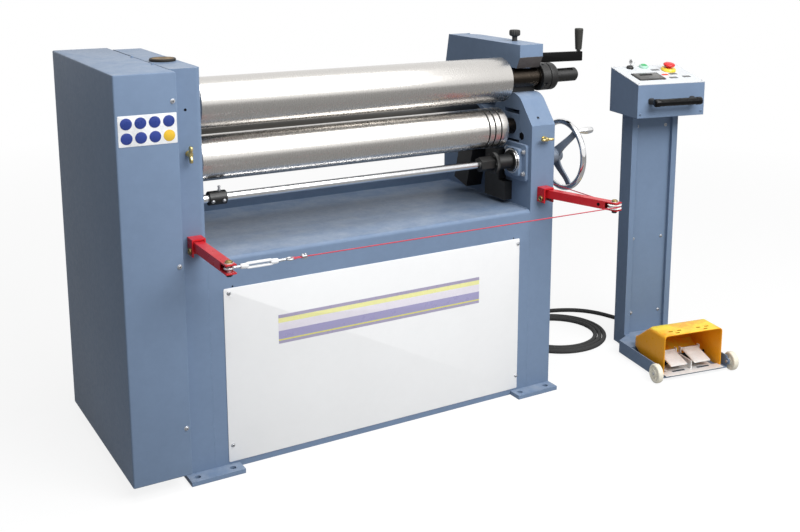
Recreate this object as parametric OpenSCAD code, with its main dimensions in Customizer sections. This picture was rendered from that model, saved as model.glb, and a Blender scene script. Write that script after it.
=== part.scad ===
// Plate rolling machine with a three-roll head, a wheeled foot-pedal console and
// a trip rope along its front. Millimetres, +Z up, front of the machine at -Y.
// The origin is on the floor in the middle of the anchor bolts.

/* [Side frames] */
// Clear width between the two side frames
clear_w = 1080; // [900:10:1400]
// Depth of the side frames, front to back
frame_d = 530; // [500:5:640]
// Thickness of the drive-side frame
drive_t = 84; // [70:1:110]
// Bend radius of the drive-side frame's front edge
drive_r = 14; // [6:1:20]
// Thickness of the open-side frame
open_t = 91; // [80:1:120]
// Drop of the open-side frame's nose below the top roll's seat
nose_drop = 94; // [60:1:110]
// Slope of the open-side frame's nose, degrees
nose_slope = 50.6; // [40:0.1:60]
// Radius where the nose rolls over to its flat top
nose_r = 60; // [20:1:80]
// Gap between the shelf and the arm that lies over it
arm_gap = 6; // [5:0.5:12]
// Radius of the locking arm's hinge ears
hinge_r = 50; // [40:1:60]
// Radius of the hinge pin
hinge_pin_r = 12; // [8:0.5:16]

/* [Rolls] */
// Distance of the top roll's axis behind the frame front
roll_back = 113; // [105:1:125]
// Height of the top roll's axis
top_z = 1036; // [1030:1:1050]
// Radius of the top roll
top_r = 71; // [60:0.5:74]
// Radius of the lower and rear rolls
lower_r = 64.5; // [55:0.5:68]
// Open gap between the top and lower rolls
roll_gap = 19; // [12:0.5:30]
// Distance of the rear roll's axis behind the top roll's
rear_back = 157; // [150:1:175]
// Drop of the rear roll's axis below the lower roll's
rear_drop = 7.5; // [4:0.5:30]
// Lean of the rear roll's slideway from upright, degrees
rear_lean = 15; // [8:1:20]
// Radius of the top roll's journals
journal_r = 30; // [25:0.5:34]
// Radius of the lower and rear rolls' journals
stub_r = 26; // [20:0.5:30]
// Space between the top roll's end and the open-side frame
end_gap = 44; // [20:1:60]
// How far the lower roll ends before the top roll
lower_short = 10; // [0:1:20]
// Space between the rolls' ends and the drive-side frame
drive_gap = 14; // [8:1:30]
// Radius of the top roll's end collars
collar_r = 45; // [38:0.5:50]
// Length of the two collars together
collar_l = 65; // [46:1:90]
// Radius of the top roll's shaft end
shaft_end_r = 22.5; // [16:0.5:26]
// Length of the top roll's shaft end
shaft_end_l = 99; // [60:1:120]
// Width of the keyway in the shaft end
key_w = 12; // [8:1:14]
// Depth of the keyway
key_d = 6; // [4:0.5:7]
// Turn of the keyway from the top towards the front, degrees
key_a = 30; // [25:1:45]
// Half width of the square bearing blocks
block_h = 42; // [38:0.5:46]

/* [Base] */
// Height of the rail along the deck's rear edge
rail_h = 38; // [20:1:60]
// Height of the deck between the frames
deck_h = 622; // [560:1:660]
// Thickness of the base's plates
base_t = 8; // [5:0.5:12]
// Bend radius along the deck's front and rear edges
deck_r = 12; // [8:1:20]
// Width of the front and rear panels
panel_w = 998; // [860:1:1040]
// Height of the panels
panel_h = 514; // [450:1:540]
// Height of the panels' lower edge
panel_z = 19; // [10:1:40]
// Thickness of the panels
panel_t = 2; // [1.5:0.5:4]
// Width of each foot plate
foot_w = 156; // [140:1:180]
// Reach of each foot plate beyond the frame
foot_l = 49; // [40:1:70]
// Thickness of the foot plates
foot_t = 13; // [10:1:20]
// Radius of the anchor holes
anchor_r = 9; // [6:0.5:12]
// Distance of the outer anchor holes outside the clear width
anchor_out = 60; // [50:1:66]
// Distance of the inner anchor holes inside the clear width
anchor_in = 43; // [30:1:48]

/* [Gear cover] */
// Depth of the gear cover, front to back
cover_d = 648; // [600:2:720]
// Width of the gear cover
cover_w = 161; // [130:1:200]
// Height of the gear cover's lower edge
cover_z = 43; // [20:1:80]
// Sheet thickness of the gear cover
cover_t = 3; // [2:0.5:5]
// Radius of the round cap on the drive-side frame
cap_r = 36; // [25:1:41]
// Height of the round cap
cap_h = 8; // [6:1:20]
// Distance of the round cap behind the frame front
cap_back = 185; // [150:1:200]

/* [Adjusting shaft and handwheel] */
// Distance of the adjusting shaft behind the frame front
shaft_back = 75; // [65:1:95]
// Height of the adjusting shaft
shaft_z = 774; // [760:1:780]
// Radius of the adjusting shaft
shaft_r = 12; // [9:0.5:14]
// Radius of the round bearing flange and of the shaft's flanges
boss_r = 35; // [30:1:36]
// Side of the square bearing flange on the open-side frame
bearing_w = 120; // [100:1:130]
// Thickness of the square bearing flange
bearing_t = 10; // [6:1:14]
// Depth of the raised block on the square flange
boss_w = 76; // [60:1:90]
// Thickness of the raised block
boss_t = 24; // [16:1:24]
// Radius of the handwheel, to the rim's outside
wheel_r = 121.5; // [110:0.5:130]
// Radius of the rim's section
rim_r = 10; // [7:0.5:12]
// Distance from the frame to the middle of the rim
rim_out = 92; // [85:1:120]
// Distance from the frame to the handwheel's hub
hub_out = 16; // [8:1:24]
// Length of the hub
hub_l = 64; // [40:1:70]
// Angle of the spoke that carries the handle, up from the front
spoke_a = 52; // [0:1:120]
// Length of the turning handle
handle_l = 58; // [40:1:80]
// Largest radius of the turning handle
handle_r = 12.5; // [9:0.5:15]

/* [Locking arm] */
// Height of the locking arm
arm_h = 107; // [80:1:140]
// Distance of the arm's front face behind the frame front
arm_back = 74; // [66:1:90]
// Height of the arm's front face
arm_face_h = 40; // [30:1:55]
// Depth of the sloping jaw face under the arm's front
jaw_d = 19; // [10:1:30]
// Clearance between the jaw and the journal
jaw_gap = 5; // [5:0.5:8]
// Distance from the arm's front face to its knob
knob_back = 121; // [90:1:160]
// Radius of the knob's disc
knob_r = 20; // [14:0.5:26]
// Height of the knob above the arm
knob_h = 42; // [30:1:60]
// Length of the crank, screw to grip
crank_l = 190; // [140:1:220]
// Height of the crank's flat bar
crank_h = 33; // [20:1:36]
// Thickness of the crank's flat bar
crank_t = 10; // [8:1:14]
// Angle of the crank towards the front, degrees
crank_a = 8; // [4:0.5:14]
// Height of the crank's grip
grip_h = 78; // [60:1:110]
// Radius of the grip's upper end
grip_r = 15; // [11:0.5:18]

// Height of the drive-side wing screw above the adjusting shaft
wing_rise = 155; // [120:1:180]
// Drop of the open-side wing screw below the nose
wing_drop = 43; // [30:1:60]

/* [Trip rope] */
// Height of the trip arms
trip_z = 676; // [660:1:685]
// Width of the arms' channel
arm_w = 28; // [26:1:36]
// Height of the arms' channel
arm_side = 26; // [25:1:34]
// Reach of the drive-side arm from the frame to its tip bolt
trip_l = 258; // [200:1:300]
// Reach of the longer, open-side arm
trip_long = 275; // [200:1:300]
// Swing of the open-side arm away from the machine, degrees
trip_swing = 17.5; // [10:0.5:20]
// Width of the brackets on the frames
bracket_w = 38; // [38:1:50]
// Height of the brackets on the frames
bracket_h = 48; // [42:1:60]
// Radius of the rope
rope_r = 2; // [1.5:0.25:3]
// Radius of the rope pulley's groove
pulley_r = 16; // [12:0.5:18]
// Length of the turnbuckle's body
turn_l = 100; // [80:1:120]

/* [Console] */
// Place of the console's column, across
console_x = 1161; // [1100:1:1300]
// Place of the console's column, front to back
console_y = -163; // [-250:1:0]
// Turn of the console, degrees
console_a = -9.6; // [-20:0.1:10]
// Width of the column
column_w = 189; // [160:1:200]
// Depth of the column
column_d = 71; // [60:1:90]
// Sheet thickness of the column and head
sheet_t = 3; // [2:0.5:4]
// Depth that the column's front sheet lies back
recess = 14; // [5:1:20]
// Width of each flange beside the column's front sheet
flange_w = 22; // [15:1:30]
// Width of the head
head_w = 272; // [240:1:300]
// Depth of the head
head_d = 184; // [160:1:220]
// Height of the head's underside
head_z = 876; // [800:1:950]
// Height of the head's front face
head_front_h = 115; // [90:1:140]
// Rise of the head's top towards the rear
head_rise = 40; // [20:1:60]
// Width of the base tray
tray_w = 280; // [260:1:320]
// Distance from the column's front to the tray's front edge
tray_l = 306; // [290:1:340]
// Height of the tray's side walls
tray_h = 53; // [45:1:60]
// Clearance of the tray above the floor
tray_z = 8; // [6:1:12]
// Thickness of the tray's plates
tray_t = 4; // [3:0.5:5]
// Radius of the console's wheels
caster_r = 33; // [28:0.5:38]
// Width of the console's wheels
caster_w = 20; // [14:1:24]
// Width of the pedal guard
guard_w = 236; // [220:1:240]
// Height of the guard's top
guard_h = 156; // [130:1:180]
// Thickness of the guard's sheet
guard_t = 3; // [2:0.5:5]
// Width of each pedal
pedal_w = 68; // [50:1:74]
// Length of each pedal
pedal_l = 86; // [60:1:90]
// Radius of the bar handle
bar_r = 14; // [10:0.5:16]
// Length of the bar handle
bar_l = 190; // [160:1:240]

/* [Floor cable] */
// Radius of the cable
cable_r = 8; // [8:1:8]

/* [Hidden] */
$fn = 48;
run = 0.05;            // radial running clearance of shafts in bores
slip = 0.5;            // clearance beside sliding blocks
drive_x = -clear_w / 2;
open_x = clear_w / 2;
open_out = open_x + open_t;
drive_out = drive_x - drive_t;
front_y = -frame_d / 2;
rear_y = frame_d / 2;
roll_y = front_y + roll_back;
lower_z = top_z - top_r - roll_gap - lower_r;
rear_roll_y = roll_y + rear_back;
rear_z = lower_z - rear_drop;
shelf_y = roll_y + 52;                 // front end of the shelf behind the journal
seat_z = top_z - journal_r - 16;       // frame top under the journal
shelf_z = top_z - 1;                   // frame top behind the journal
saddle_d = 50;
nose_h = seat_z - nose_drop;
pin_y = rear_y - hinge_r;
pin_z = shelf_z - hinge_r;
tongue_w = 40;
tongue_gap = 1;
lug_w = 58;                            // outer lugs that carry the clamp screw
lug_d = 46;
lug_h = 28;
screw_r = 10;
screw_y = shelf_y + 24;
screw_x = open_out + 29;
lower_up = 14;
lower_down = 12;
rear_up = 62;
guide_w = 60;
foot_guide = 30;                       // thickness of the lower roll's lift guides
rail_t = 20;                           // thickness of the rail along the deck's rear edge
guide_d = 80;
guide_gap = 29.5;                      // clearance of the lift guides above the deck
guide_h = rear_z - lower_r - 20 - deck_h - guide_gap;
roll_x0 = drive_x + drive_gap;
roll_x1 = open_x - end_gap;
collar_x = open_out + 4;
shaft_y = front_y + shaft_back;
hub_x = open_out + hub_out;
rim_x = open_out + rim_out;
shaft_in = 30;                         // reach of the adjusting shaft into the drive-side frame
sleeve_gap = 33;                       // distance of the sleeve from the drive-side frame
sleeve_l = 51;
ring_gap = 25;                         // distance of the coupling's ring from the open-side frame
ring_x = open_x - ring_gap;
neck_x = ring_x - 9;
disc_x = neck_x - 56;
coupling_x = disc_x - 12;
rim_mid = wheel_r - rim_r;
arm_y = front_y + arm_back;
arm_z = shelf_z + arm_gap;
corner_back = 92;                      // start of the bevel on the arm's rear outer corner
corner_l = 60;
machine_h = arm_z + arm_h;               // the drive-side frame is as high as the arm
jaw_z = top_z + journal_r + jaw_gap;
crank_z = arm_z + lug_h + 3;
tip_bolt_r = 5;
bracket_d = 38;
bracket_t = 4;
arm_nose = 17;                         // reach of the arms beyond their tip bolts
fork_h = 18;
groove_r = pulley_r + rope_r;
left_arm_x = drive_x - drive_t / 2 + 7;
right_arm_x = open_x + open_t / 2;
left_tip = [left_arm_x, front_y - trip_l, trip_z];
right_tip = [right_arm_x + trip_long * sin(trip_swing), front_y - trip_long * cos(trip_swing), trip_z];
switch_back = 115;                     // distance of the trip switch before the frame's rear
switch_y = rear_y - switch_back;
caster_x = tray_w / 2 + 4 + caster_w / 2;
caster_y = -tray_l - 3;
axle_r = 5;
well_back = 114;
pedal_gap = 28;
pedal_z = 60;
pin_r = 4;
ear_x = [pedal_gap / 2 - 4, pedal_gap / 2 + pedal_w + 4];
well_z = tray_z + tray_t;
hinge_line = -205;
head_y = -92;
panel_top = 2;
stop_p = [66, 130];
stop_r = 11;
start_p = [-12, 172];
start_r = 11;
key_p = [-71, 168];

function arc(c, r, a0, a1, n = 8) =
    [for (i = [0:n]) c + r * [cos(a0 + (a1 - a0) * i / n), sin(a0 + (a1 - a0) * i / n)]];

// A profile drawn in Y and Z, made t thick from x0
module across(x0, t) translate([x0, 0, 0]) rotate([90, 0, 90]) linear_extrude(t) children();
// A round bar along X
module bar_x(x0, x1, y, z, r) translate([x0, y, z]) rotate([0, 90, 0]) cylinder(r = r, h = x1 - x0);
// A plate square to X, centred, h high and w deep
module plate_x(t, h, w = undef) translate([0, -(is_undef(w) ? h : w) / 2, -h / 2])
    cube([t, is_undef(w) ? h : w, h]);
module box(lo, hi) translate(lo) cube(hi - lo);
module at_console() translate([console_x, console_y, 0]) rotate(console_a) children();

// ---------------------------------------------------------------- machine
module base_cabinet() color("slategray") {
    difference() {
        across(drive_x, clear_w) difference() {
            hull() {
                translate([front_y, 0]) square([frame_d, 1]);
                for (y = [front_y + deck_r, rear_y - deck_r]) translate([y, deck_h - deck_r]) circle(deck_r);
            }
            translate([front_y + base_t, base_t]) square([frame_d - 2 * base_t, deck_h - 2 * base_t]);
        }
        for (y = [front_y, rear_y]) box([-panel_w / 2 + 30, y - base_t - 1, panel_z + 30],
            [panel_w / 2 - 30, y + base_t + 1, panel_z + panel_h - 30]);
    }
    // Rail along the rear edge of the deck
    box([drive_x, rear_y - rail_t, deck_h - deck_r - 1], [open_x, rear_y, deck_h + rail_h]);
}

module foot_plates() color("slategray")
    for (sx = [-1, 1], sy = [-1, 1]) difference() {
        x1 = sx < 0 ? -drive_out : open_out;
        translate([sx < 0 ? -x1 : x1 - foot_w, sy < 0 ? front_y - foot_l : rear_y, 0])
            cube([foot_w, foot_l, foot_t]);
        for (x = [clear_w / 2 - anchor_in, clear_w / 2 + anchor_out])
            translate([sx * x, sy * (rear_y + foot_l / 2), -1]) cylinder(r = anchor_r, h = foot_t + 2);
    }

module panel(y0) box([-panel_w / 2, y0, panel_z], [panel_w / 2, y0 + panel_t, panel_z + panel_h]);
module front_panel() color("whitesmoke") panel(front_y - panel_t);
module rear_panel() color("slategray") panel(rear_y);

// Slots for the sliding bearing blocks and the bore of the adjusting shaft
module frame_cuts() {
    s = block_h + slip;
    translate([roll_y - s, lower_z - s - lower_down]) square([2 * s, 2 * s + lower_up + lower_down]);
    translate([rear_roll_y, rear_z]) rotate(rear_lean) translate([-s, -s]) square([2 * s, 2 * s + rear_up]);
}

module drive_frame() color("slategray") difference() {
    box([drive_out, front_y, 0], [drive_x, rear_y, machine_h]);
    // Bend between the front and the inner face, above the deck
    translate([drive_x - drive_r, front_y - 1, deck_h]) linear_extrude(machine_h) difference() {
        square(drive_r + 1);
        translate([0, drive_r + 1]) circle(drive_r);
    }
    across(drive_out - 1, drive_t + 2) frame_cuts();
    bar_x(drive_out - 1, drive_x + 1, roll_y, top_z, journal_r + run);
    bar_x(drive_x - 40, drive_x + 1, shaft_y, shaft_z, shaft_r + 2);
}

module open_profile() {
    t = nose_r * tan(nose_slope / 2);
    corner = front_y + (seat_z - nose_h) / tan(nose_slope);
    polygon(concat([[front_y, 0], [front_y, nose_h]],
        arc([corner + t, seat_z - nose_r], nose_r, 90 + nose_slope, 90),
        [[shelf_y, seat_z], [shelf_y, shelf_z]],
        arc([pin_y, pin_z], hinge_r, 90, 0), [[rear_y, 0]]));
}

module open_frame() color("slategray") {
    difference() {
        across(open_x, open_t) difference() {
            open_profile();
            frame_cuts();
        }
        bar_x(open_x - 1, open_out + 1, shaft_y, shaft_z, shaft_r + 2);
        slot = tongue_w + 2 * tongue_gap;
        box([open_x + (open_t - slot) / 2, pin_y - hinge_r, pin_z - hinge_r - 10],
            [open_x + (open_t + slot) / 2, rear_y + 1, shelf_z + 1]);
    }
    bar_x(open_x + 8, open_out - 8, pin_y, pin_z, hinge_pin_r);
    // Lug under the clamp screw
    box([open_out, screw_y - lug_d / 2, shelf_z - 35], [open_out + lug_w, screw_y + lug_d / 2, shelf_z - 3]);
}

module gear_cover() color("slategray") difference() {
    box([drive_out - cover_w, -cover_d / 2, cover_z], [drive_out, cover_d / 2, machine_h]);
    box([drive_out - cover_w + cover_t, -cover_d / 2 + cover_t, cover_z + cover_t],
        [drive_out - cover_t, cover_d / 2 - cover_t, machine_h - cover_t]);
    box([drive_out - cover_t - 1, front_y + 20, cover_z + 20], [drive_out + 1, rear_y - 20, machine_h - 20]);
}

module frame_cap() color("dimgray") translate([(drive_x + drive_out) / 2, front_y + cap_back, machine_h])
    cylinder(r = cap_r, h = cap_h);

// ---------------------------------------------------------------- rolls
module top_roll() color("silver") difference() {
    union() {
        bar_x(drive_out - 36, collar_x, roll_y, top_z, journal_r);
        bar_x(roll_x0, roll_x1, roll_y, top_z, top_r);
        bar_x(collar_x, collar_x + collar_l / 2 - 1, roll_y, top_z, collar_r);
        bar_x(collar_x, collar_x + collar_l, roll_y, top_z, collar_r - 3);
        bar_x(collar_x + collar_l / 2 + 1, collar_x + collar_l - 10, roll_y, top_z, collar_r);
        translate([collar_x + collar_l - 10, roll_y, top_z]) rotate([0, 90, 0])
            cylinder(r1 = collar_r, r2 = collar_r - 10, h = 10);
        bar_x(collar_x, collar_x + collar_l + shaft_end_l - 8, roll_y, top_z, shaft_end_r);
        translate([collar_x + collar_l + shaft_end_l - 8, roll_y, top_z]) rotate([0, 90, 0])
            cylinder(r1 = shaft_end_r, r2 = shaft_end_r - 8, h = 8);
    }
    // Keyway
    translate([collar_x + collar_l, roll_y, top_z]) rotate([key_a, 0, 0])
        translate([0, -key_w / 2, shaft_end_r - key_d]) cube([shaft_end_l - 22, key_w, key_d + 1]);
}

module bending_roll(y, z, end, grooves) difference() {
    union() {
        bar_x(roll_x0, end, y, z, lower_r);
        bar_x(drive_out + 4, open_out - 4, y, z, stub_r);
    }
    for (d = grooves) bar_x(end - d - 4, end - d, y, z, lower_r + 1);
}
module lower_roll() color("silver") union() {
    bending_roll(roll_y, lower_z, roll_x1 - lower_short, [26, 49, 71]);
    bar_x(roll_x1 - lower_short - 100, roll_x1 - lower_short - 20, roll_y, lower_z, lower_r - 4);
}
module rear_roll() color("silver") bending_roll(rear_roll_y, rear_z, roll_x1, []);

module blocks(y, z, lean) for (x = [[drive_out + 2, drive_x], [open_x, open_out - 2]]) difference() {
    across(x[0], x[1] - x[0]) translate([y, z]) rotate(lean)
        translate([-block_h, -block_h]) square(2 * block_h);
    bar_x(x[0] - 1, x[1] + 1, y, z, stub_r + run);
}
module lower_blocks() color("dimgray") blocks(roll_y, lower_z, 0);
module rear_blocks() color("dimgray") blocks(rear_roll_y, rear_z, rear_lean);

// Housings of the lifting screws, on the frames' inner faces
module lift_guides() color("dimgray") {
    for (x = [drive_x, open_x - guide_w]) translate([x, rear_roll_y, rear_z])
        rotate([rear_lean, 0, 0]) translate([0, -guide_d / 2, -lower_r - 20 - guide_h]) {
            cube([guide_w, guide_d, guide_h]);
            translate([guide_w / 2, guide_d / 2, guide_h]) cylinder(r = 12, h = 8);
        }
    for (x = [drive_x, open_x - foot_guide]) {
        box([x, roll_y + 27, deck_h + 14], [x + foot_guide, roll_y + 107, lower_z - lower_r - 17]);
        box([x, roll_y - 8, deck_h + 14], [x + foot_guide, roll_y + 107, deck_h + 76]);
    }
}

module roll_saddle() color("dimgray") difference() {
    box([open_x, shelf_y - saddle_d, seat_z], [open_out, shelf_y, top_z]);
    bar_x(open_x - 1, open_out + 1, roll_y, top_z, journal_r + run);
}

// ---------------------------------------------------------------- adjusting shaft
module shaft_bearings() color("slategray") difference() {
    union() {
        translate([open_x - bearing_t, shaft_y, shaft_z - 2]) plate_x(bearing_t, bearing_w);
        translate([open_x - boss_t, shaft_y, shaft_z - 2]) plate_x(boss_t, bearing_w - 30, boss_w);
        bar_x(drive_x, drive_x + bearing_t - 1, shaft_y, shaft_z, boss_r);
    }
    bar_x(-clear_w, clear_w, shaft_y, shaft_z, shaft_r + run);
}

module adjusting_shaft() color("silver") {
    bar_x(drive_x - shaft_in, hub_x + hub_l - 6, shaft_y, shaft_z, shaft_r);
    bar_x(drive_x + sleeve_gap, drive_x + sleeve_gap + sleeve_l, shaft_y, shaft_z, 20);
    bar_x(coupling_x - sleeve_l, coupling_x, shaft_y, shaft_z, 22);
    bar_x(coupling_x, disc_x, shaft_y, shaft_z, boss_r);
    bar_x(disc_x, neck_x, shaft_y, shaft_z, 24);
    bar_x(neck_x, ring_x, shaft_y, shaft_z, boss_r);
}

module handwheel() color("lightgray") translate([0, shaft_y, shaft_z]) difference() {
    union() {
        translate([rim_x, 0, 0]) rotate([0, 90, 0]) rotate_extrude() translate([rim_mid, 0]) circle(rim_r, $fn = 24);
        bar_x(hub_x, hub_x + hub_l, 0, 0, 26);
        for (i = [0:2]) rotate([180 - spoke_a + 120 * i, 0, 0]) hull() {
            translate([hub_x + hub_l - 22, 16, -12]) cube([9, 4, 24]);
            translate([rim_x - 5, rim_mid - 7, -9]) cube([8, 4, 18]);
        }
    }
    bar_x(hub_x - 1, hub_x + hub_l + 1, 0, 0, shaft_r + run);
    rotate([180 - spoke_a, 0, 0]) bar_x(rim_x - rim_r - 1, rim_x + rim_r + 1, rim_mid, 0, 4);
}

module wheel_handle() color("silver")
    translate([0, shaft_y, shaft_z]) rotate([180 - spoke_a, 0, 0]) translate([rim_x, rim_mid, 0]) rotate([0, 90, 0]) {
        translate([0, 0, -rim_r]) cylinder(r = 4 - run, h = rim_r * 2 + 2);
        translate([0, 0, rim_r + 1]) cylinder(r1 = 7, r2 = handle_r, h = handle_l * 0.6);
        translate([0, 0, rim_r + 1 + handle_l * 0.6]) cylinder(r1 = handle_r, r2 = 8, h = handle_l * 0.4);
    }

// ---------------------------------------------------------------- locking arm
module arm_profile() polygon([[arm_y, machine_h], [arm_y, machine_h - arm_face_h], [arm_y + jaw_d, jaw_z],
    [shelf_y, jaw_z], [shelf_y + 6, arm_z], [rear_y - 3, arm_z], [rear_y - 25, machine_h]]);

module locking_arm() color("slategray") difference() {
    union() {
        across(open_x, open_t) arm_profile();
        across(open_x + (open_t - tongue_w) / 2, tongue_w) hull() {
            translate([pin_y, pin_z]) circle(hinge_r - 5);
            translate([pin_y - hinge_r + 5, arm_z]) square([2 * hinge_r - 10, 5]);
        }
        box([open_out, screw_y - lug_d / 2, arm_z], [open_out + lug_w, screw_y + lug_d / 2, arm_z + lug_h]);
    }
    bar_x(open_x, open_out, pin_y, pin_z, hinge_pin_r + run);
    translate([screw_x, screw_y, arm_z - 1]) cylinder(r = screw_r + run, h = lug_h + 2);
    // Rear outer corner
    translate([open_out + 1, rear_y - corner_back, arm_z - 1]) rotate(-60) translate([-corner_l, 0, 0])
        cube([2 * open_t, 2 * open_t, 2 * arm_h]);
    translate([open_x + open_t * 0.7, arm_y + knob_back, machine_h - 12]) cylinder(r = 6 + run, h = 14);
}

module arm_knob() color("black") translate([open_x + open_t * 0.7, arm_y + knob_back, machine_h]) {
    translate([0, 0, -10]) cylinder(r = 6, h = 12);
    translate([0, 0, 0.3]) cylinder(r = 9, h = knob_h - 22);
    translate([0, 0, knob_h - 24]) cylinder(r1 = knob_r - 4, r2 = knob_r, h = 6);
    translate([0, 0, knob_h - 18]) cylinder(r = knob_r, h = 14);
    translate([0, 0, knob_h - 4]) cylinder(r1 = knob_r, r2 = knob_r - 5, h = 4);
}

module crank() color("black") translate([screw_x, screw_y, 0]) {
    translate([0, 0, shelf_z - 2]) cylinder(r = screw_r, h = crank_z - shelf_z + 4);
    translate([0, 0, crank_z]) cylinder(r = 18, h = crank_h);
    rotate(-crank_a) difference() {
        translate([0, -crank_t / 2, crank_z]) cube([crank_l + 14, crank_t, crank_h]);
        translate([crank_l, 0, crank_z + crank_h - 20]) cylinder(r = 3.5, h = 21);
    }
}

module crank_grip() color("black")
    translate([screw_x, screw_y, crank_z + crank_h]) rotate(-crank_a) translate([crank_l, 0, 0]) {
        translate([0, 0, -18]) cylinder(r = 3.5 - run, h = 20);
        translate([0, 0, 1]) cylinder(r = 7, h = 6);
        translate([0, 0, 6]) cylinder(r1 = grip_r - 4, r2 = grip_r, h = grip_h - 10);
        translate([0, 0, grip_h - 4]) cylinder(r1 = grip_r, r2 = grip_r - 2, h = 4);
    }

module wing_screw() {
    rotate([90, 0, 0]) cylinder(r = 5, h = 14);
    translate([0, -24, 0]) rotate([90, 0, 0]) hull() {
        translate([-20, 0, -10]) cylinder(r = 3, h = 4);
        translate([20, 0, -10]) cylinder(r = 3, h = 4);
    }
    translate([0, -8, 0]) rotate([90, 0, 0]) cylinder(r1 = 5, r2 = 8, h = 8);
}
module wing_screws() color("goldenrod") {
    translate([(drive_x + drive_out) / 2, front_y, shaft_z + wing_rise]) rotate([0, 90, 0]) wing_screw();
    translate([(open_x + open_out) / 2, front_y, nose_h - wing_drop]) wing_screw();
}

// ---------------------------------------------------------------- trip rope
module trip_arm(l, lean) {
    difference() {
        translate([-bracket_w / 2, -bracket_d, -bracket_h + 20]) cube([bracket_w, bracket_d, bracket_h]);
        translate([-bracket_w / 2 + bracket_t, -bracket_d - 1, -bracket_h + 19])
            cube([bracket_w - 2 * bracket_t, bracket_d - 7, bracket_h - bracket_t]);
    }
    rotate(lean) difference() {
        translate([-arm_w / 2, -l - arm_nose, -arm_side / 2]) cube([arm_w, l + arm_nose - 6, arm_side]);
        translate([-arm_w / 2 + 3, -l - arm_nose - 1, -arm_side / 2 + 3])
            cube([arm_w - 6, l + arm_nose - 17, arm_side - 6]);
        translate([-arm_w / 2 - 1, -l - arm_nose - 1, -fork_h / 2]) cube([arm_w + 2, arm_nose + 28, fork_h]);
        translate([0, -l, -arm_side]) cylinder(r = tip_bolt_r + run, h = 2 * arm_side);
    }
}
module trip_arms() color("firebrick") {
    translate([left_arm_x, front_y, trip_z]) trip_arm(trip_l, 0);
    translate([right_arm_x, front_y, trip_z]) trip_arm(trip_long, trip_swing);
}

module arm_bolts() color("darkgoldenrod") for (t = [left_tip, right_tip]) translate(t) {
    translate([0, 0, -arm_side / 2 - 6]) cylinder(r = tip_bolt_r, h = arm_side + 10);
    translate([0, 0, arm_side / 2]) cylinder(r = 10, h = 7, $fn = 6);
    translate([0, 0, -arm_side / 2 - 8]) cylinder(r = 9, h = 8, $fn = 6);
}

// The rope's line, which leaves the drive-side tip and touches the pulley's groove
rope_span = right_tip - left_tip;
rope_a = atan2(rope_span.y, rope_span.x) - asin(groove_r / norm(rope_span));
rope_l = sqrt(pow(norm(rope_span), 2) - pow(groove_r, 2));
turn_x = 30;
eye_x = turn_x + turn_l + 32;
clamp_x = eye_x + 40;
rope_cut = 0.3;                        // hairline between the rope's straight and curved lengths, degrees
module on_rope() translate(left_tip) rotate(rope_a) children();

module turnbuckle() color("gainsboro") on_rope() {
    difference() {
        translate([0, 0, -5]) cylinder(r = 13, h = 10);
        translate([0, 0, -6]) cylinder(r = tip_bolt_r + run, h = 12);
    }
    bar_x(12, turn_x + 2, 0, 0, 4);
    difference() {
        translate([turn_x, -6, -8]) cube([turn_l, 12, 16]);
        translate([turn_x + 14, -7, -4]) cube([turn_l - 28, 14, 8]);
    }
    bar_x(turn_x + turn_l - 2, eye_x - 8, 0, 0, 4);
    translate([eye_x, 0, 0]) rotate_extrude() translate([9, 0]) circle(2.5, $fn = 16);
}

module trip_rope() color("firebrick") {
    on_rope() {
        // Doubled end with its clamp
        translate([eye_x + 17.5, 0, -rope_r - 0.2]) cylinder(r = 5.7, h = 2 * rope_r + 0.4);
        for (s = [-1, 1]) bar_x(eye_x + 18, clamp_x, 3.4 * s, 0, rope_r);
        translate([clamp_x - 9, -7, -4]) cube([18, 14, 8]);
        bar_x(clamp_x, rope_l, 0, 0, rope_r);
    }
    translate(right_tip) rotate(rope_a - 90 + rope_cut) rotate_extrude(angle = 90 - rope_a - 2 * rope_cut)
        translate([groove_r, 0]) circle(rope_r);
    translate(right_tip + [groove_r, 0, 0]) rotate([-90, 0, 0])
        cylinder(r = rope_r, h = switch_y - right_tip.y);
}

module rope_pulley() color("whitesmoke") translate(right_tip) difference() {
    union() {
        translate([0, 0, -7]) cylinder(r = pulley_r + 6, h = 4);
        translate([0, 0, -7]) cylinder(r = pulley_r - run, h = 13);
        translate([0, 0, 3]) cylinder(r = pulley_r + 6, h = 3.5);
    }
    translate([0, 0, -8]) cylinder(r = tip_bolt_r + run, h = 16);
}

module trip_switch() color("dimgray") {
    box([open_out, switch_y, trip_z - 45], [right_tip.x + groove_r + 20, switch_y + 80, trip_z + 45]);
}

// ---------------------------------------------------------------- console
module console_tray() color("slategray") at_console() {
    plan = [[-column_w / 2, column_d], [-column_w / 2, -12], [-tray_w / 2, -43], [-tray_w / 2, -tray_l],
        [tray_w / 2, -tray_l], [tray_w / 2, -43], [column_w / 2, -12], [column_w / 2, column_d]];
    difference() {
        union() {
            translate([0, 0, tray_z]) linear_extrude(tray_h - tray_z) polygon(plan);
            // Ears that carry the wheels
            for (x = [-tray_w / 2, tray_w / 2 - tray_t]) bar_x(x, x + tray_t, caster_y, caster_r, 12);
        }
        // Open well for the pedals
        translate([-tray_w / 2 + tray_t, -tray_l - 1, tray_z + tray_t])
            cube([tray_w - 2 * tray_t, tray_l + 1 - well_back, tray_h]);
        // Space under the column's foot
        translate([-column_w / 2 + tray_t, -well_back + tray_t, tray_z + tray_t])
            cube([column_w - 2 * tray_t, column_d + well_back - 2 * tray_t, tray_h - tray_z - 2 * tray_t]);
        bar_x(-tray_w, tray_w, caster_y, caster_r, axle_r);
    }
    // Rear feet
    for (x = [-70, 70]) translate([x, column_d - 22, 0]) cylinder(r = 15, h = tray_z);
}

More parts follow.
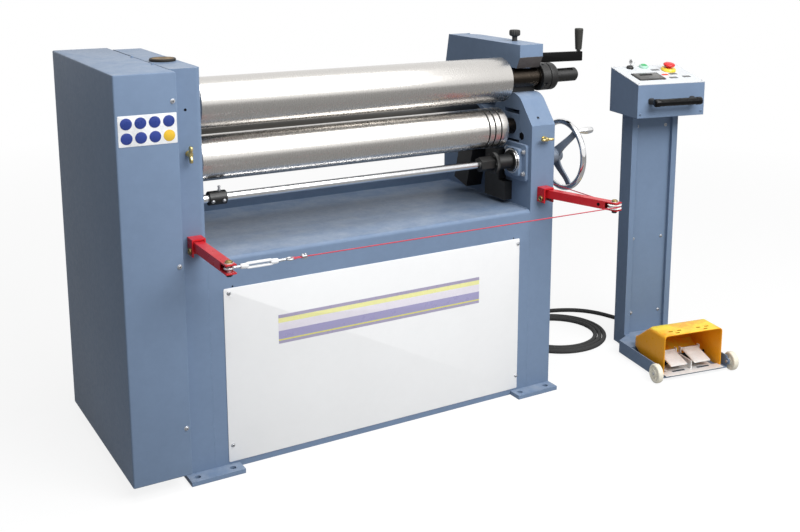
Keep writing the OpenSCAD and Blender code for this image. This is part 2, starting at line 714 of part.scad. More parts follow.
module console_column() color("slategray") at_console() difference() {
    translate([-column_w / 2, 0, tray_h]) cube([column_w, column_d, head_z - tray_h]);
    translate([-column_w / 2 + sheet_t, recess + sheet_t, tray_h - 1])
        cube([column_w - 2 * sheet_t, column_d - recess - 2 * sheet_t, head_z - tray_h + 2]);
    translate([-column_w / 2 + flange_w, -1, tray_h - 1]) cube([column_w - 2 * flange_w, recess + 1, head_z - tray_h + 2]);
}

module head_profile(d) polygon([[head_y + d, head_z + d], [head_y + head_d - d, head_z + d],
    [head_y + head_d - d, head_z + head_front_h + head_rise - d], [head_y + d, head_z + head_front_h - d]]);
module console_head() color("slategray") at_console() difference() {
    across(-head_w / 2, head_w) head_profile(0);
    across(-head_w / 2 + sheet_t, head_w - 2 * sheet_t) head_profile(sheet_t);
}

top_a = atan2(head_rise, head_d);
module on_top() at_console() translate([0, head_y, head_z + head_front_h]) rotate([top_a, 0, 0]) children();
top_l = head_d / cos(top_a);
module head_panel() color("white") on_top() {
    translate([-head_w / 2, 0, 0]) cube([head_w, top_l, panel_top]);
    // Bezel of the start button
    translate([start_p.x, start_p.y, panel_top]) difference() {
        cylinder(r = start_r + 4, h = 7);
        translate([0, 0, -1]) cylinder(r = start_r + run, h = 9);
    }
}

module bar_handle() color("black") at_console() {
    z = head_z + 58;
    translate([0, head_y - 42, z]) bar_x(-bar_l / 2, bar_l / 2, 0, 0, bar_r);
    for (s = [-1, 1]) translate([s * (bar_l / 2 - 12), head_y, z]) rotate([90, 0, 0]) cylinder(r = 10, h = 42);
}

module stop_base() color("gold") on_top() translate([stop_p.x, stop_p.y, panel_top]) difference() {
    cylinder(r1 = 27, r2 = 24, h = 10);
    translate([0, 0, -1]) cylinder(r = stop_r + run, h = 12);
}
module stop_button() color("red") on_top() translate([stop_p.x, stop_p.y, panel_top]) {
    translate([0, 0, 4.5]) cylinder(r = stop_r, h = 14);
    translate([0, 0, 16]) cylinder(r1 = 18, r2 = 21, h = 4);
    translate([0, 0, 20]) cylinder(r1 = 21, r2 = 17, h = 8);
}
module start_button() color("seagreen") on_top() translate([start_p.x, start_p.y, panel_top + 3.5])
    cylinder(r = start_r, h = 7);
module key_switch() color("silver") on_top() translate([key_p.x, key_p.y, panel_top + 0.3]) {
    cylinder(r = 13, h = 8);
    translate([-1.5, -10, 7]) cube([3, 20, 26]);
}

module pedal_guard() color("gold") at_console() {
    y0 = -tray_l + 8;
    y1 = -200;
    y2 = -well_back;
    difference() {
        across(-guard_w / 2, guard_w)
            polygon([[y0, well_z], [y0, guard_h], [y1, guard_h], [y2, 93], [y2, 57], [y1 + 10, well_z]]);
        across(-guard_w / 2 + guard_t, guard_w - 2 * guard_t)
            polygon([[y0 - 1, well_z - 1], [y0 - 1, guard_h - guard_t], [y1 - 1, guard_h - guard_t],
                [y2 - guard_t, 92], [y2 - guard_t, 58], [y1 + 7, well_z - 1]]);
    }
}

module pedal_plate() color("lightgray") at_console() difference() {
    floor_w = 2 * ear_x[1] + 14;
    floor_z = well_z + 5;
    union() {
        box([-floor_w / 2, -tray_l - 4, well_z], [floor_w / 2, hinge_line + 12, floor_z]);
        // Rib between the pedals
        box([-2, hinge_line - pedal_l, floor_z], [2, hinge_line + 4, pedal_z - 12]);
        // Ears that carry the pedals' pins
        for (x = ear_x) for (s = [-1, 1])
            box([s * x - 2, hinge_line - 7, floor_z], [s * x + 2, hinge_line + 7, pedal_z + 7]);
    }
    bar_x(-floor_w, floor_w, hinge_line, pedal_z, pin_r + run);
}
module pedal(s) at_console() translate([s * (pedal_gap + pedal_w) / 2, hinge_line, pedal_z]) {
    rotate([15, 0, 0]) translate([-pedal_w / 2, -pedal_l, -2]) cube([pedal_w, pedal_l + 5, 4]);
    bar_x(-pedal_w / 2 - 6, pedal_w / 2 + 6, 0, 0, pin_r);
}
module left_pedal() color("silver") pedal(-1);
module right_pedal() color("silver") pedal(1);

module console_wheel(s) at_console() translate([s * caster_x, caster_y, caster_r]) rotate([0, 90, 0]) {
    difference() {
        translate([0, 0, -caster_w / 2]) cylinder(r = caster_r, h = caster_w);
        for (f = [-1, 1]) translate([0, 0, f * caster_w / 2 - 3]) difference() {
            cylinder(r = caster_r - 9, h = 6);
            translate([0, 0, -1]) cylinder(r = 10, h = 8);
        }
    }
    translate([0, 0, s < 0 ? caster_w / 2 : -caster_w / 2 - 12]) cylinder(r = axle_r - run, h = 12);
}
module left_wheel() color("cornsilk") console_wheel(-1);
module right_wheel() color("cornsilk") console_wheel(1);

// ---------------------------------------------------------------- floor cable
gland_z = 48;
machine_gland = [open_out, -40, gland_z];
module cable_gland(l) {
    difference() {
        union() {
            cylinder(r = 16, h = 8, $fn = 6);
            translate([0, 0, 8]) cylinder(r1 = 14, r2 = 10, h = l - 8);
        }
        translate([0, 0, 12]) cylinder(r = cable_r + run, h = l);
    }
}
module cable_glands() color("black") {
    translate(machine_gland) rotate([0, 90, 0]) cable_gland(28);
    at_console() translate([30, column_d, 90]) rotate([-90, 0, 0]) cable_gland(28);
}

coil_c = [935, 92];
coil_in = 142;
coil_out = 190;
module cable_coil() color("black") translate([coil_c.x, coil_c.y, 1]) rotate_extrude($fn = 72)
    translate([coil_in, 0]) square([coil_out - coil_in, 2 * cable_r]);

// Ring of points round p, square to direction d
function ring(p, d, n = 10) =
    let (u = d / norm(d), a = cross([0, 0, 1], u), s = a / norm(a), t = cross(u, s))
    [for (i = [0:n - 1]) p + cable_r * (cos(360 * i / n) * s + sin(360 * i / n) * t)];
module tube(path, n = 10) {
    m = len(path);
    pts = [for (i = [0:m - 1]) each ring(path[i], path[min(i + 1, m - 1)] - path[max(i - 1, 0)], n)];
    sides = [for (i = [0:m - 2], j = [0:n - 1])
        [i * n + j, i * n + (j + 1) % n, (i + 1) * n + (j + 1) % n, (i + 1) * n + j]];
    polyhedron(points = pts, faces = concat(sides,
        [[for (j = [n - 1:-1:0]) j]], [[for (j = [0:n - 1]) (m - 1) * n + j]]), convexity = 6);
}

machine_route = [[644, -40, 48], [662, -40, 48], [684, -38, 44], [704, -33, 36], [722, -22, 29], [735, -6, 25.5],
    [743, 15, 25.5], [747, 40, 25.5], [750, 65, 25.5]];
console_route = [[821, 254, 9], [838, 266, 9], [858, 278, 9], [880, 288, 9], [918, 301, 9], [958, 308, 9],
    [1000, 309, 9], [1042, 302, 9], [1082, 290, 9], [1120, 273, 9], [1154, 251, 9], [1182, 224, 9],
    [1204, 192, 9], [1220, 158, 9], [1229, 122, 10], [1231, 86, 14], [1229, 50, 24], [1225, 18, 42],
    [1220, -10, 64], [1214, -36, 84], [1209, -59, 90], [1205.5, -80, 90]];
module machine_cable() color("black") tube(machine_route);
module console_cable() color("black") tube(console_route);

base_cabinet();
foot_plates();
front_panel();
rear_panel();
drive_frame();
open_frame();
gear_cover();
frame_cap();
top_roll();
lower_roll();
rear_roll();
lower_blocks();
rear_blocks();
lift_guides();
roll_saddle();
shaft_bearings();
adjusting_shaft();
handwheel();
wheel_handle();
locking_arm();
arm_knob();
crank();
crank_grip();
wing_screws();
trip_arms();
arm_bolts();
turnbuckle();
trip_rope();
rope_pulley();
trip_switch();
console_tray();
console_column();
console_head();
head_panel();
bar_handle();
stop_base();
stop_button();
start_button();
key_switch();
pedal_guard();
pedal_plate();
left_pedal();
right_pedal();
left_wheel();
right_wheel();
cable_glands();
machine_cable();
console_cable();
cable_coil();
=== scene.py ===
"""Looks of a plate rolling machine with a wheeled foot-pedal console.

Metres, +Z up, the machine's front towards -Y, the origin on the floor in the
middle of the anchor bolts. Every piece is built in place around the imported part.
"""

import logging
import math
from dataclasses import dataclass, field
from enum import Enum
from functools import lru_cache
from typing import Callable, Sequence

import bpy
import numpy as np
from mathutils import Matrix


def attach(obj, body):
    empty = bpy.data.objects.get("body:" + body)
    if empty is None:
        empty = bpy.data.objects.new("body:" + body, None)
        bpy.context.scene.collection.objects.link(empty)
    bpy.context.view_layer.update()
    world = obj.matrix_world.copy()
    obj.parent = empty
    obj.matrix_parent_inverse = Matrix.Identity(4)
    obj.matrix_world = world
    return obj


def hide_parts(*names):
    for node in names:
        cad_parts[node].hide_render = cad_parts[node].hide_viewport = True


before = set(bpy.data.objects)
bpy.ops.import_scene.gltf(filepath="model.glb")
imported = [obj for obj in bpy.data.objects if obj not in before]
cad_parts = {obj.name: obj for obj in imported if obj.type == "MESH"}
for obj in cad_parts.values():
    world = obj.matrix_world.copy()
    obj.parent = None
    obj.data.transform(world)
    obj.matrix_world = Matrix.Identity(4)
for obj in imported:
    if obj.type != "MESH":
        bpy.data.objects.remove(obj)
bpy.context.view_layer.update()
LOG = logging.getLogger("plate_rolls")
Point = tuple[float, float, float]
Colour = tuple[float, float, float, float]
Socket = bpy.types.NodeSocket
Sockets = bpy.types.bpy_prop_collection

FRONT, REAR, LEFT, RIGHT, DOWN = (0, -1, 0), (0, 1, 0), (-1, 0, 0), (1, 0, 0), (0, 0, -1)


# ------------------------------------------------------------------ shapes
def unit(v: np.ndarray) -> np.ndarray:
    """Each vector divided by its own length."""
    v = np.asarray(v, float)
    return v / np.linalg.norm(v, axis=-1, keepdims=True)


def rows(x: object, y: object, z: object) -> np.ndarray:
    """Points as rows, from coordinates that are arrays or single values."""
    return np.stack(np.broadcast_arrays(x, y, z), -1)


def carried(points: np.ndarray, matrix: np.ndarray) -> np.ndarray:
    """Points carried by a 4x4 matrix."""
    return points @ matrix[:3, :3].T + matrix[:3, 3]


def travel(path: np.ndarray) -> np.ndarray:
    """The distance along a path at each of its points."""
    return np.concatenate([[0.0], np.cumsum(np.linalg.norm(np.diff(path, axis=0), axis=1))])


@dataclass
class Solid:
    """A closed surface of four-sided faces with flat ends."""

    points: np.ndarray
    quads: np.ndarray
    caps: list[np.ndarray]

    def volume(self) -> float:
        """Signed volume: a sixth of the sum of each triangle's triple product.

        Returns:
            The volume in cubic metres, negative where the faces point inwards.
        """
        a, b, c, d = (self.points[self.quads[:, k]] for k in range(4))
        total = float(np.sum(a * (np.cross(b, c) + np.cross(c, d))))
        for cap in self.caps:
            q = self.points[cap]
            total += float(np.sum(q[0] * np.cross(q[1:-1], q[2:])))
        return total / 6

    def outward(self) -> "Solid":
        """The same surface with its faces turned to point outwards.

        Returns:
            This surface, or its mirror in face order.
        """
        if self.volume() >= 0:
            return self
        return Solid(self.points, self.quads[:, ::-1], [cap[::-1] for cap in self.caps])

    def placed(self, matrix: np.ndarray) -> "Solid":
        """The surface carried by a 4x4 matrix."""
        return Solid(carried(self.points, matrix), self.quads, self.caps).outward()


def ring_solid(rings: np.ndarray, loop: bool = False) -> Solid:
    """Joins rings of points, row by row, into one surface.

    Args:
        rings: Array of rows, each a closed ring of n points.
        loop: Whether the last row joins the first, as on a torus.

    Returns:
        The closed surface, with a flat cap at each end unless it loops.
    """
    m, n, _ = rings.shape
    row = np.arange(m if loop else m - 1)[:, None]
    col = np.arange(n)[None, :]
    row2, col2 = (row + 1) % m, (col + 1) % n
    corners = (row * n + col, row * n + col2, row2 * n + col2, row2 * n + col)
    quads = np.stack(np.broadcast_arrays(*corners), -1).reshape(-1, 4)
    caps = [] if loop else [np.arange(n)[::-1], np.arange((m - 1) * n, m * n)]
    return Solid(rings.reshape(-1, 3), quads, caps).outward()


def around(count: int) -> np.ndarray:
    """Angles in radians, evenly round a circle."""
    return np.arange(count) * (2 * math.pi / count)


def lathe(profile: Sequence[tuple[float, float]], sides: int) -> Solid:
    """Turns a profile about +Z: x = r cos a, y = r sin a, z as given.

    Args:
        profile: Pairs of height and radius, every radius above zero.
        sides: Points round each ring.

    Returns:
        The closed surface.
    """
    zr = np.asarray(profile, float)
    a = around(sides)
    return ring_solid(rows(zr[:, 1:] * np.cos(a), zr[:, 1:] * np.sin(a), zr[:, :1]))


def torus(ring: float, thick: float, turns: int, sides: int, flat: float = 1.0) -> Solid:
    """A ring about +Z: radius ring + thick cos b, height thick sin b times flat.

    Args:
        ring: Radius of the centre line.
        thick: Radius of the section.
        turns: Points round the ring.
        sides: Points round the section.
        flat: Height of the section over its width.

    Returns:
        The closed surface.
    """
    a, b = around(turns)[:, None], around(sides)[None, :]
    r = ring + thick * np.cos(b)
    return ring_solid(rows(r * np.cos(a), r * np.sin(a), flat * thick * np.sin(b)), loop=True)


def rounded(corners: Sequence[tuple[float, float]], radius: float | Sequence[float], steps: int = 4) -> np.ndarray:
    """A polygon whose corners are arcs that touch both of their sides.

    Each arc's centre lies on the corner's bisector, radius / sin(half the corner's
    angle) from the corner.

    Args:
        corners: The polygon, anticlockwise.
        radius: One radius for all corners, or one for each.
        steps: Steps in each arc.

    Returns:
        The outline, one row for each point.
    """
    p = np.asarray(corners, float)
    r = np.broadcast_to(np.asarray(radius, float), (len(p),))
    u, v = unit(np.roll(p, 1, 0) - p), unit(np.roll(p, -1, 0) - p)
    half = np.arccos(np.clip(np.sum(u * v, 1), -1, 1)) / 2
    centre = p + unit(u + v) * (r / np.sin(half))[:, None]
    start = p + u * (r / np.tan(half))[:, None] - centre
    end = p + v * (r / np.tan(half))[:, None] - centre
    a0, a1 = np.arctan2(start[:, 1], start[:, 0]), np.arctan2(end[:, 1], end[:, 0])
    turn = (a1 - a0 + math.pi) % (2 * math.pi) - math.pi
    a = a0[:, None] + turn[:, None] * np.linspace(0, 1, steps + 1)
    arcs = centre[:, None] + r[:, None, None] * np.stack([np.cos(a), np.sin(a)], -1)
    return arcs.reshape(-1, 2)


def rectangle(width: float, height: float, radius: float = 0.002, steps: int = 4) -> np.ndarray:
    """A rectangle about the origin with rounded corners."""
    w, h = width / 2, height / 2
    return rounded([(-w, -h), (w, -h), (w, h), (-w, h)], radius, steps)


def rim(thick: float, radius: float, foot: bool = False) -> np.ndarray:
    """Heights and insets of a plate whose upper edge is a quarter circle.

    Args:
        thick: Thickness of the plate.
        radius: Radius of the quarter circle.
        foot: Whether the lower edge is rounded as well.

    Returns:
        Pairs of height and inset, from the foot up.
    """
    a = np.linspace(0, math.pi / 2, 4)
    height, inset = radius * np.sin(a), radius - radius * np.cos(a)
    top = np.stack([thick - radius + height, inset], 1)
    bottom = np.stack([radius - height, inset], 1)[::-1]
    return np.concatenate([bottom if foot else np.zeros((1, 2)), top])


def slab(outline: np.ndarray, levels: np.ndarray | Sequence[tuple[float, float]]) -> Solid:
    """A plate on an outline: at each height the outline moves in by the inset.

    A corner moves along (n1 + n2) / (1 + n1.n2), where n1 and n2 are the inward
    normals of its two sides, so that every side moves by the same distance.

    Args:
        outline: The plate seen from above, anticlockwise.
        levels: Pairs of height and inset, from the foot up.

    Returns:
        The closed surface.
    """
    p, lv = np.asarray(outline, float), np.asarray(levels, float)
    back, ahead = p - np.roll(p, 1, 0), np.roll(p, -1, 0) - p
    n1 = unit(np.stack([-back[:, 1], back[:, 0]], 1))
    n2 = unit(np.stack([-ahead[:, 1], ahead[:, 0]], 1))
    mitre = (n1 + n2) / (1 + np.sum(n1 * n2, 1))[:, None]
    xy = p[None] + lv[:, 1, None, None] * mitre[None]
    return ring_solid(rows(xy[..., 0], xy[..., 1], lv[:, :1]))


def plate(width: float, height: float, thick: float, corner: float = 0.003, edge: float = 0.0008,
          foot: bool = False) -> Solid:
    """A rounded rectangular plate that stands on z = 0."""
    return slab(rectangle(width, height, corner), rim(thick, edge, foot=foot))


def block(lo: Point, hi: Point, corner: float = 0.002) -> Solid:
    """A box between two corners with all its edges rounded.

    Args:
        lo: The lowest corner.
        hi: The highest corner.
        corner: Radius of the edges.

    Returns:
        The closed surface.
    """
    lo_, hi_ = np.asarray(lo, float), np.asarray(hi, float)
    size, mid = hi_ - lo_, (lo_ + hi_) / 2
    body = plate(size[0], size[1], size[2], corner, corner * 0.7, foot=True)
    return body.placed(facing((mid[0], mid[1], lo_[2])))


def tube(path: np.ndarray, radius: float | np.ndarray, sides: int) -> Solid:
    """Carries a circle along a path that is never upright, square to its direction.

    Args:
        path: Points of the centre line.
        radius: One value, one for each point, or one for each point and side.
        sides: Points round the circle.

    Returns:
        The closed surface.
    """
    p = np.asarray(path, float)
    ahead = unit(np.gradient(p, axis=0))
    side = unit(np.cross([0.0, 0.0, 1.0], ahead))
    over = np.cross(ahead, side)
    r = np.asarray(radius, float)
    r = np.broadcast_to(r if r.ndim == 2 else r.reshape(-1, 1), (len(p), sides))[..., None]
    a = around(sides)[None, :, None]
    return ring_solid(p[:, None] + r * (np.cos(a) * side[:, None] + np.sin(a) * over[:, None]))


def flow(points: Sequence[Point] | np.ndarray, step: float) -> np.ndarray:
    """A smooth curve through points, sampled every step.

    Between two points it is the cubic whose slopes are the finite differences of the
    points over the distance along them.

    Args:
        points: Places that the curve passes.
        step: Distance between samples.

    Returns:
        The samples, one row for each.
    """
    p = np.asarray(points, float)
    d = travel(p)
    slope = np.gradient(p, d, axis=0)
    s = np.linspace(0, d[-1], int(d[-1] / step) + 2)
    k = np.clip(np.searchsorted(d, s, "right") - 1, 0, len(p) - 2)
    h = (d[k + 1] - d[k])[:, None]
    t = (s[:, None] - d[k][:, None]) / h
    return ((2 * t**3 - 3 * t**2 + 1) * p[k] + (t**3 - 2 * t**2 + t) * h * slope[k]
            + (3 * t**2 - 2 * t**3) * p[k + 1] + (t**3 - t**2) * h * slope[k + 1])


def facing(origin: Point | np.ndarray, axis: Point | np.ndarray = (0, 0, 1), across: Point = RIGHT) -> np.ndarray:
    """The matrix that puts +Z along an axis at a place, and +X as near to across as it goes.

    Args:
        origin: Where the piece's own origin goes.
        axis: Where its +Z points.
        across: Where its +X points, as near as it can.

    Returns:
        The matrix, 4 by 4.
    """
    z = unit(np.asarray(axis, float))
    x = np.asarray(across, float)
    x = x - np.dot(x, z) * z
    if np.linalg.norm(x) < 1e-6:
        x = np.array([0.0, 1.0, 0.0]) - z[1] * z
    x = unit(x)
    m = np.eye(4)
    m[:3, 0], m[:3, 1], m[:3, 2], m[:3, 3] = x, np.cross(z, x), z, origin
    return m


def along_x(x: float, y: float, z: float) -> np.ndarray:
    """The matrix of a turned piece that lies along +X: its own x is Y and its y is Z."""
    return facing((x, y, z), RIGHT, REAR)


def turned(angle: float, axis: str) -> np.ndarray:
    """The matrix of a turn about an axis through the origin, in radians."""
    return np.array(Matrix.Rotation(angle, 4, axis))


def moved(x: float, y: float, z: float) -> np.ndarray:
    """The matrix of a move."""
    return facing((x, y, z))


def link(name: str, data: bpy.types.ID, matrix: np.ndarray | None = None) -> bpy.types.Object:
    """Puts an object into the scene.

    Args:
        name: Its name.
        data: Its mesh, lamp or camera.
        matrix: Where it stands, if not at the origin.

    Returns:
        The object.
    """
    obj = bpy.data.objects.new(name, data)
    if matrix is not None:
        obj.matrix_world = Matrix(matrix.tolist())
    bpy.context.scene.collection.objects.link(obj)
    return obj


# ------------------------------------------------------------------ node work
class Nodes:
    """Short hand for making the nodes of one tree."""

    def __init__(self, tree: bpy.types.NodeTree) -> None:
        """Keeps the tree."""
        self.tree = tree

    def feed(self, node: bpy.types.Node, sockets: dict) -> bpy.types.Node:
        """Fills or links inputs of a node.

        Args:
            node: The node.
            sockets: Values or links for its inputs, by name or number.

        Returns:
            The node.
        """
        for key, value in sockets.items():
            if isinstance(value, Socket):
                self.tree.links.new(value, node.inputs[key])
            else:
                node.inputs[key].default_value = value
        return node

    def add(self, kind: str, sockets: dict | None = None, **settings: object) -> bpy.types.Node:
        """Makes a node, sets its options, and fills or links its inputs.

        Args:
            kind: The node's type, without its ShaderNode prefix.
            sockets: Values or links for its inputs, by name or number.
            settings: Options of the node.

        Returns:
            The new node.
        """
        node = self.tree.nodes.new("ShaderNode" + kind)
        for key, value in settings.items():
            setattr(node, key, value)
        return self.feed(node, sockets or {})

    def place(self) -> Socket:
        """The point on the object, in metres."""
        return self.add("TexCoord").outputs["Object"]

    def noise(self, vector: object, scale: object, detail: float = 3.0, rough: float = 0.55) -> Socket:
        """Cloudy noise between 0 and 1."""
        return self.add("TexNoise", {"Vector": vector, "Scale": scale, "Detail": detail, "Roughness": rough}).outputs[0]

    def span(self, value: object, low: float, high: float, to_low: object = 0.0, to_high: object = 1.0) -> Socket:
        """Stretches a value from one range to another, held at its ends."""
        return self.add("MapRange", {0: value, 1: low, 2: high, 3: to_low, 4: to_high}).outputs[0]

    def maths(self, operation: str, a: object, b: object = 0.0) -> Socket:
        """One step of arithmetic."""
        return self.add("Math", {0: a, 1: b}, operation=operation).outputs[0]

    def times(self, a: object, b: object) -> Socket:
        """A product of two values."""
        return self.maths("MULTIPLY", a, b)

    def blend(self, factor: object, a: object, b: object) -> Socket:
        """A colour between two colours."""
        return self.add("Mix", {0: factor, 6: a, 7: b}, data_type="RGBA").outputs[2]

    def bump(self, strength: float, distance: float, height: Socket, **normal: Socket) -> Socket:
        """The normal of a surface raised by a height."""
        return self.add("Bump", {"Strength": strength, "Distance": distance, "Height": height, **normal}).outputs[0]

    def effect(self, tree: bpy.types.NodeTree, **values: object) -> Sockets:
        """The outputs of a shared effect placed with its own values."""
        return self.add("Group", values, node_tree=tree).outputs


def shared(*outputs: str, **inputs: object) -> Callable:
    """Turns a function that fills a node group into one that gives the group.

    Args:
        outputs: Names of the group's outputs.
        inputs: Starting value of each input.

    Returns:
        The decorator. What it makes builds the group on its first use.
    """

    def wrap(fill: Callable[[Nodes, Sockets], dict[str, Socket]]) -> Callable[[], bpy.types.NodeTree]:
        """Wraps one function.

        Args:
            fill: Makes the nodes, and returns the socket that feeds each output.

        Returns:
            The function that gives the group.
        """

        @lru_cache(maxsize=None)
        def group() -> bpy.types.NodeTree:
            """The group, built on its first use.

            Returns:
                The one group of this effect.
            """
            tree = bpy.data.node_groups.new(fill.__name__, "ShaderNodeTree")
            for label, value in inputs.items():
                kind = "NodeSocketVector" if isinstance(value, tuple) else "NodeSocketFloat"
                tree.interface.new_socket(name=label, in_out="INPUT", socket_type=kind).default_value = value
            for label in outputs:
                kind = "NodeSocketVector" if label == "Normal" else "NodeSocketFloat"
                tree.interface.new_socket(name=label, in_out="OUTPUT", socket_type=kind)
            source, sink = tree.nodes.new("NodeGroupInput"), tree.nodes.new("NodeGroupOutput")
            for label, socket in fill(Nodes(tree), source.outputs).items():
                tree.links.new(socket, sink.inputs[label])
            return tree

        return group

    return wrap


@shared("Normal", "Mask", Radius=0.002)
def soft_edges(n: Nodes, given: Sockets) -> dict[str, Socket]:
    """Rounds sharp edges in the shading; the mask grows as the normal leaves the face's own.

    Args:
        n: Builder of the group's nodes.
        given: The group's inputs.

    Returns:
        The socket for each output.
    """
    normal = n.add("Bevel", {"Radius": given["Radius"]}, samples=4).outputs[0]
    own = n.add("NewGeometry").outputs["Normal"]
    same = n.add("VectorMath", {0: normal, 1: own}, operation="DOT_PRODUCT").outputs["Value"]
    return {"Normal": normal, "Mask": n.span(same, 0.99, 0.8)}


@shared("Value", Scale=6.0)
def mottle(n: Nodes, given: Sockets) -> dict[str, Socket]:
    """Broad clouds with others in them, eleven times as fine.

    Args:
        n: Builder of the group's nodes.
        given: The group's inputs.

    Returns:
        The socket for each output.
    """
    place = n.place()
    broad = n.noise(place, given["Scale"])
    fine = n.noise(place, n.times(given["Scale"], 11.0))
    return {"Value": n.span(n.maths("ADD", n.times(broad, 0.68), n.times(fine, 0.32)), 0.36, 0.64)}


@shared("Value", Stretch=(1, 0.02, 0.02), Scale=900.0)
def grain(n: Nodes, given: Sockets) -> dict[str, Socket]:
    """Fine lines left by a tool, long where the stretch is small."""
    place = n.add("VectorMath", {0: n.place(), 1: given["Stretch"]}, operation="MULTIPLY").outputs[0]
    return {"Value": n.span(n.noise(place, given["Scale"], 4.0, 0.7), 0.3, 0.7)}


@shared("Mask", Amount=0.3)
def upward_dust_and_light(n: Nodes, given: Sockets) -> dict[str, Socket]:
    """How far a face looks up, times clouds, times the amount: dusting on tops, and in the enamels also painted light
    that makes the tops lighter.

    Args:
        n: Builder of the group's nodes.
        given: The group's inputs.

    Returns:
        The socket for each output.
    """
    up = n.add("SeparateXYZ", {0: n.add("NewGeometry").outputs["Normal"]}).outputs["Z"]
    clouds = n.span(n.noise(n.place(), 17.0, 5.0, 0.65), 0.35, 0.75)
    return {"Mask": n.times(n.times(n.span(up, 0.55, 1.0), clouds), given["Amount"])}


@shared("Mask", Edge=0.0, Amount=0.5, Scale=60.0)
def wear(n: Nodes, given: Sockets) -> dict[str, Socket]:
    """Rubbed places: the edge mask is kept only where a noise is high."""
    spots = n.span(n.noise(n.place(), given["Scale"], 5.0, 0.7), 0.48, 0.62)
    return {"Mask": n.times(n.times(given["Edge"], spots), given["Amount"])}


# ------------------------------------------------------------------ finishes
def shade(red: int, green: int, blue: int) -> Colour:
    """A display colour as linear light: c/12.92 near black, else ((c + 0.055)/1.055)^2.4.

    Args:
        red: Red, 0 to 255.
        green: Green, 0 to 255.
        blue: Blue, 0 to 255.

    Returns:
        The linear colour with full alpha.
    """
    c = np.array([red, green, blue]) / 255.0
    light = np.where(c <= 0.04045, c / 12.92, ((c + 0.055) / 1.055) ** 2.4)
    return (*light.tolist(), 1.0)


def scaled(colour: Colour, factor: float) -> Colour:
    """A colour made lighter or darker."""
    return tuple(min(1.0, c * factor) for c in colour[:3]) + (1.0,)


@dataclass(frozen=True)
class Finish:
    """What a surface is made of. Each kind builds its own material."""

    name: str

    def material(self) -> bpy.types.Material:
        """The material, built on its first use.

        Returns:
            The one material of this finish.
        """
        made = bpy.data.materials.get(self.name)
        if made is None:
            made = bpy.data.materials.new(self.name)
            made.use_nodes = True
            self.dress(Nodes(made.node_tree), made.node_tree.nodes["Principled BSDF"])
        return made

    def dress(self, n: Nodes, shader: bpy.types.Node) -> None:
        """Fills the material. Each kind of finish has its own."""
        raise NotImplementedError


@dataclass(frozen=True)
class Enamel(Finish):
    """Sprayed machine enamel: orange peel, cloudy tone, dusting with painted top light, and rubbed edges."""

    colour: Colour
    roughness: float = 0.36
    peel: float = 0.1
    rubbed: float = 0.45
    top_dust_and_light: float = 0.42
    gloss: float = 0.06
    cloud: float = 0.05
    # film is the colour laid on up-facing faces: dusting, and painted light that makes the tops lighter
    film: Colour = (0.434, 0.468, 0.515, 1.0)
    edge: float = 0.0018

    def dress(self, n: Nodes, shader: bpy.types.Node) -> None:
        """Tone, wear, and a top film of dusting and painted top light feed the colour; the peel is a bump over soft
        edges.

        Args:
            n: Builder of the material's nodes.
            shader: The Principled node.
        """
        edges = n.effect(soft_edges(), Radius=self.edge)
        tone, speck = n.effect(mottle(), Scale=3.5)[0], n.effect(mottle(), Scale=90.0)[0]
        colour = n.blend(tone, scaled(self.colour, 1 - self.cloud), scaled(self.colour, 1 + self.cloud))
        colour = n.blend(n.times(speck, 2 * self.cloud), colour, scaled(self.colour, 0.78))
        rub = n.effect(wear(), Edge=edges["Mask"], Amount=self.rubbed)[0]
        # Up-facing faces take the film colour: partly dusting, partly painted top light
        film = n.effect(upward_dust_and_light(), Amount=self.top_dust_and_light)[0]
        colour = n.blend(film, n.blend(rub, colour, scaled(self.colour, 1.9)), self.film)
        rough = n.maths("ADD", n.span(speck, 0, 1, self.roughness - 0.04, self.roughness + 0.06), n.times(film, 0.2))
        bump = n.bump(self.peel, 0.0006, n.noise(n.place(), 620.0, 2.0), Normal=edges["Normal"])
        n.feed(shader, {"Base Color": colour, "Roughness": rough, "Normal": bump, "Specular IOR Level": self.gloss})


@dataclass(frozen=True)
class Steel(Finish):
    """Worked metal: tool lines, stains, and bright edges."""

    colour: Colour
    roughness: float = 0.28
    lines: Point = (1.0, 0.02, 0.02)
    line_scale: float = 900.0
    depth: float = 0.1
    stain: float = 0.25
    metal: float = 1.0
    streak: float = 0.1
    gloss: float = 0.5
    edge: float = 0.0008

    def dress(self, n: Nodes, shader: bpy.types.Node) -> None:
        """Lines change the gloss and the normal; stains darken and dull.

        Args:
            n: Builder of the material's nodes.
            shader: The Principled node.
        """
        edges = n.effect(soft_edges(), Radius=self.edge)
        lines = n.effect(grain(), Stretch=self.lines, Scale=self.line_scale)[0]
        broad = n.effect(mottle(), Scale=9.0)[0]
        colour = n.blend(lines, scaled(self.colour, 1 - self.streak), scaled(self.colour, 1 + self.streak))
        colour = n.blend(n.times(broad, self.stain), colour, scaled(self.colour, 0.55))
        rub = n.effect(wear(), Edge=edges["Mask"], Amount=0.6)[0]
        colour = n.blend(rub, colour, scaled(self.colour, 2.2))
        rough = n.span(lines, 0, 1, self.roughness - self.streak / 2, self.roughness + self.streak / 2)
        rough = n.maths("ADD", rough, n.times(broad, self.stain * 0.22))
        bump = n.bump(self.depth, 0.0003, lines, Normal=edges["Normal"])
        n.feed(shader, {"Base Color": colour, "Roughness": rough, "Normal": bump, "Metallic": self.metal,
                        "Specular IOR Level": self.gloss})


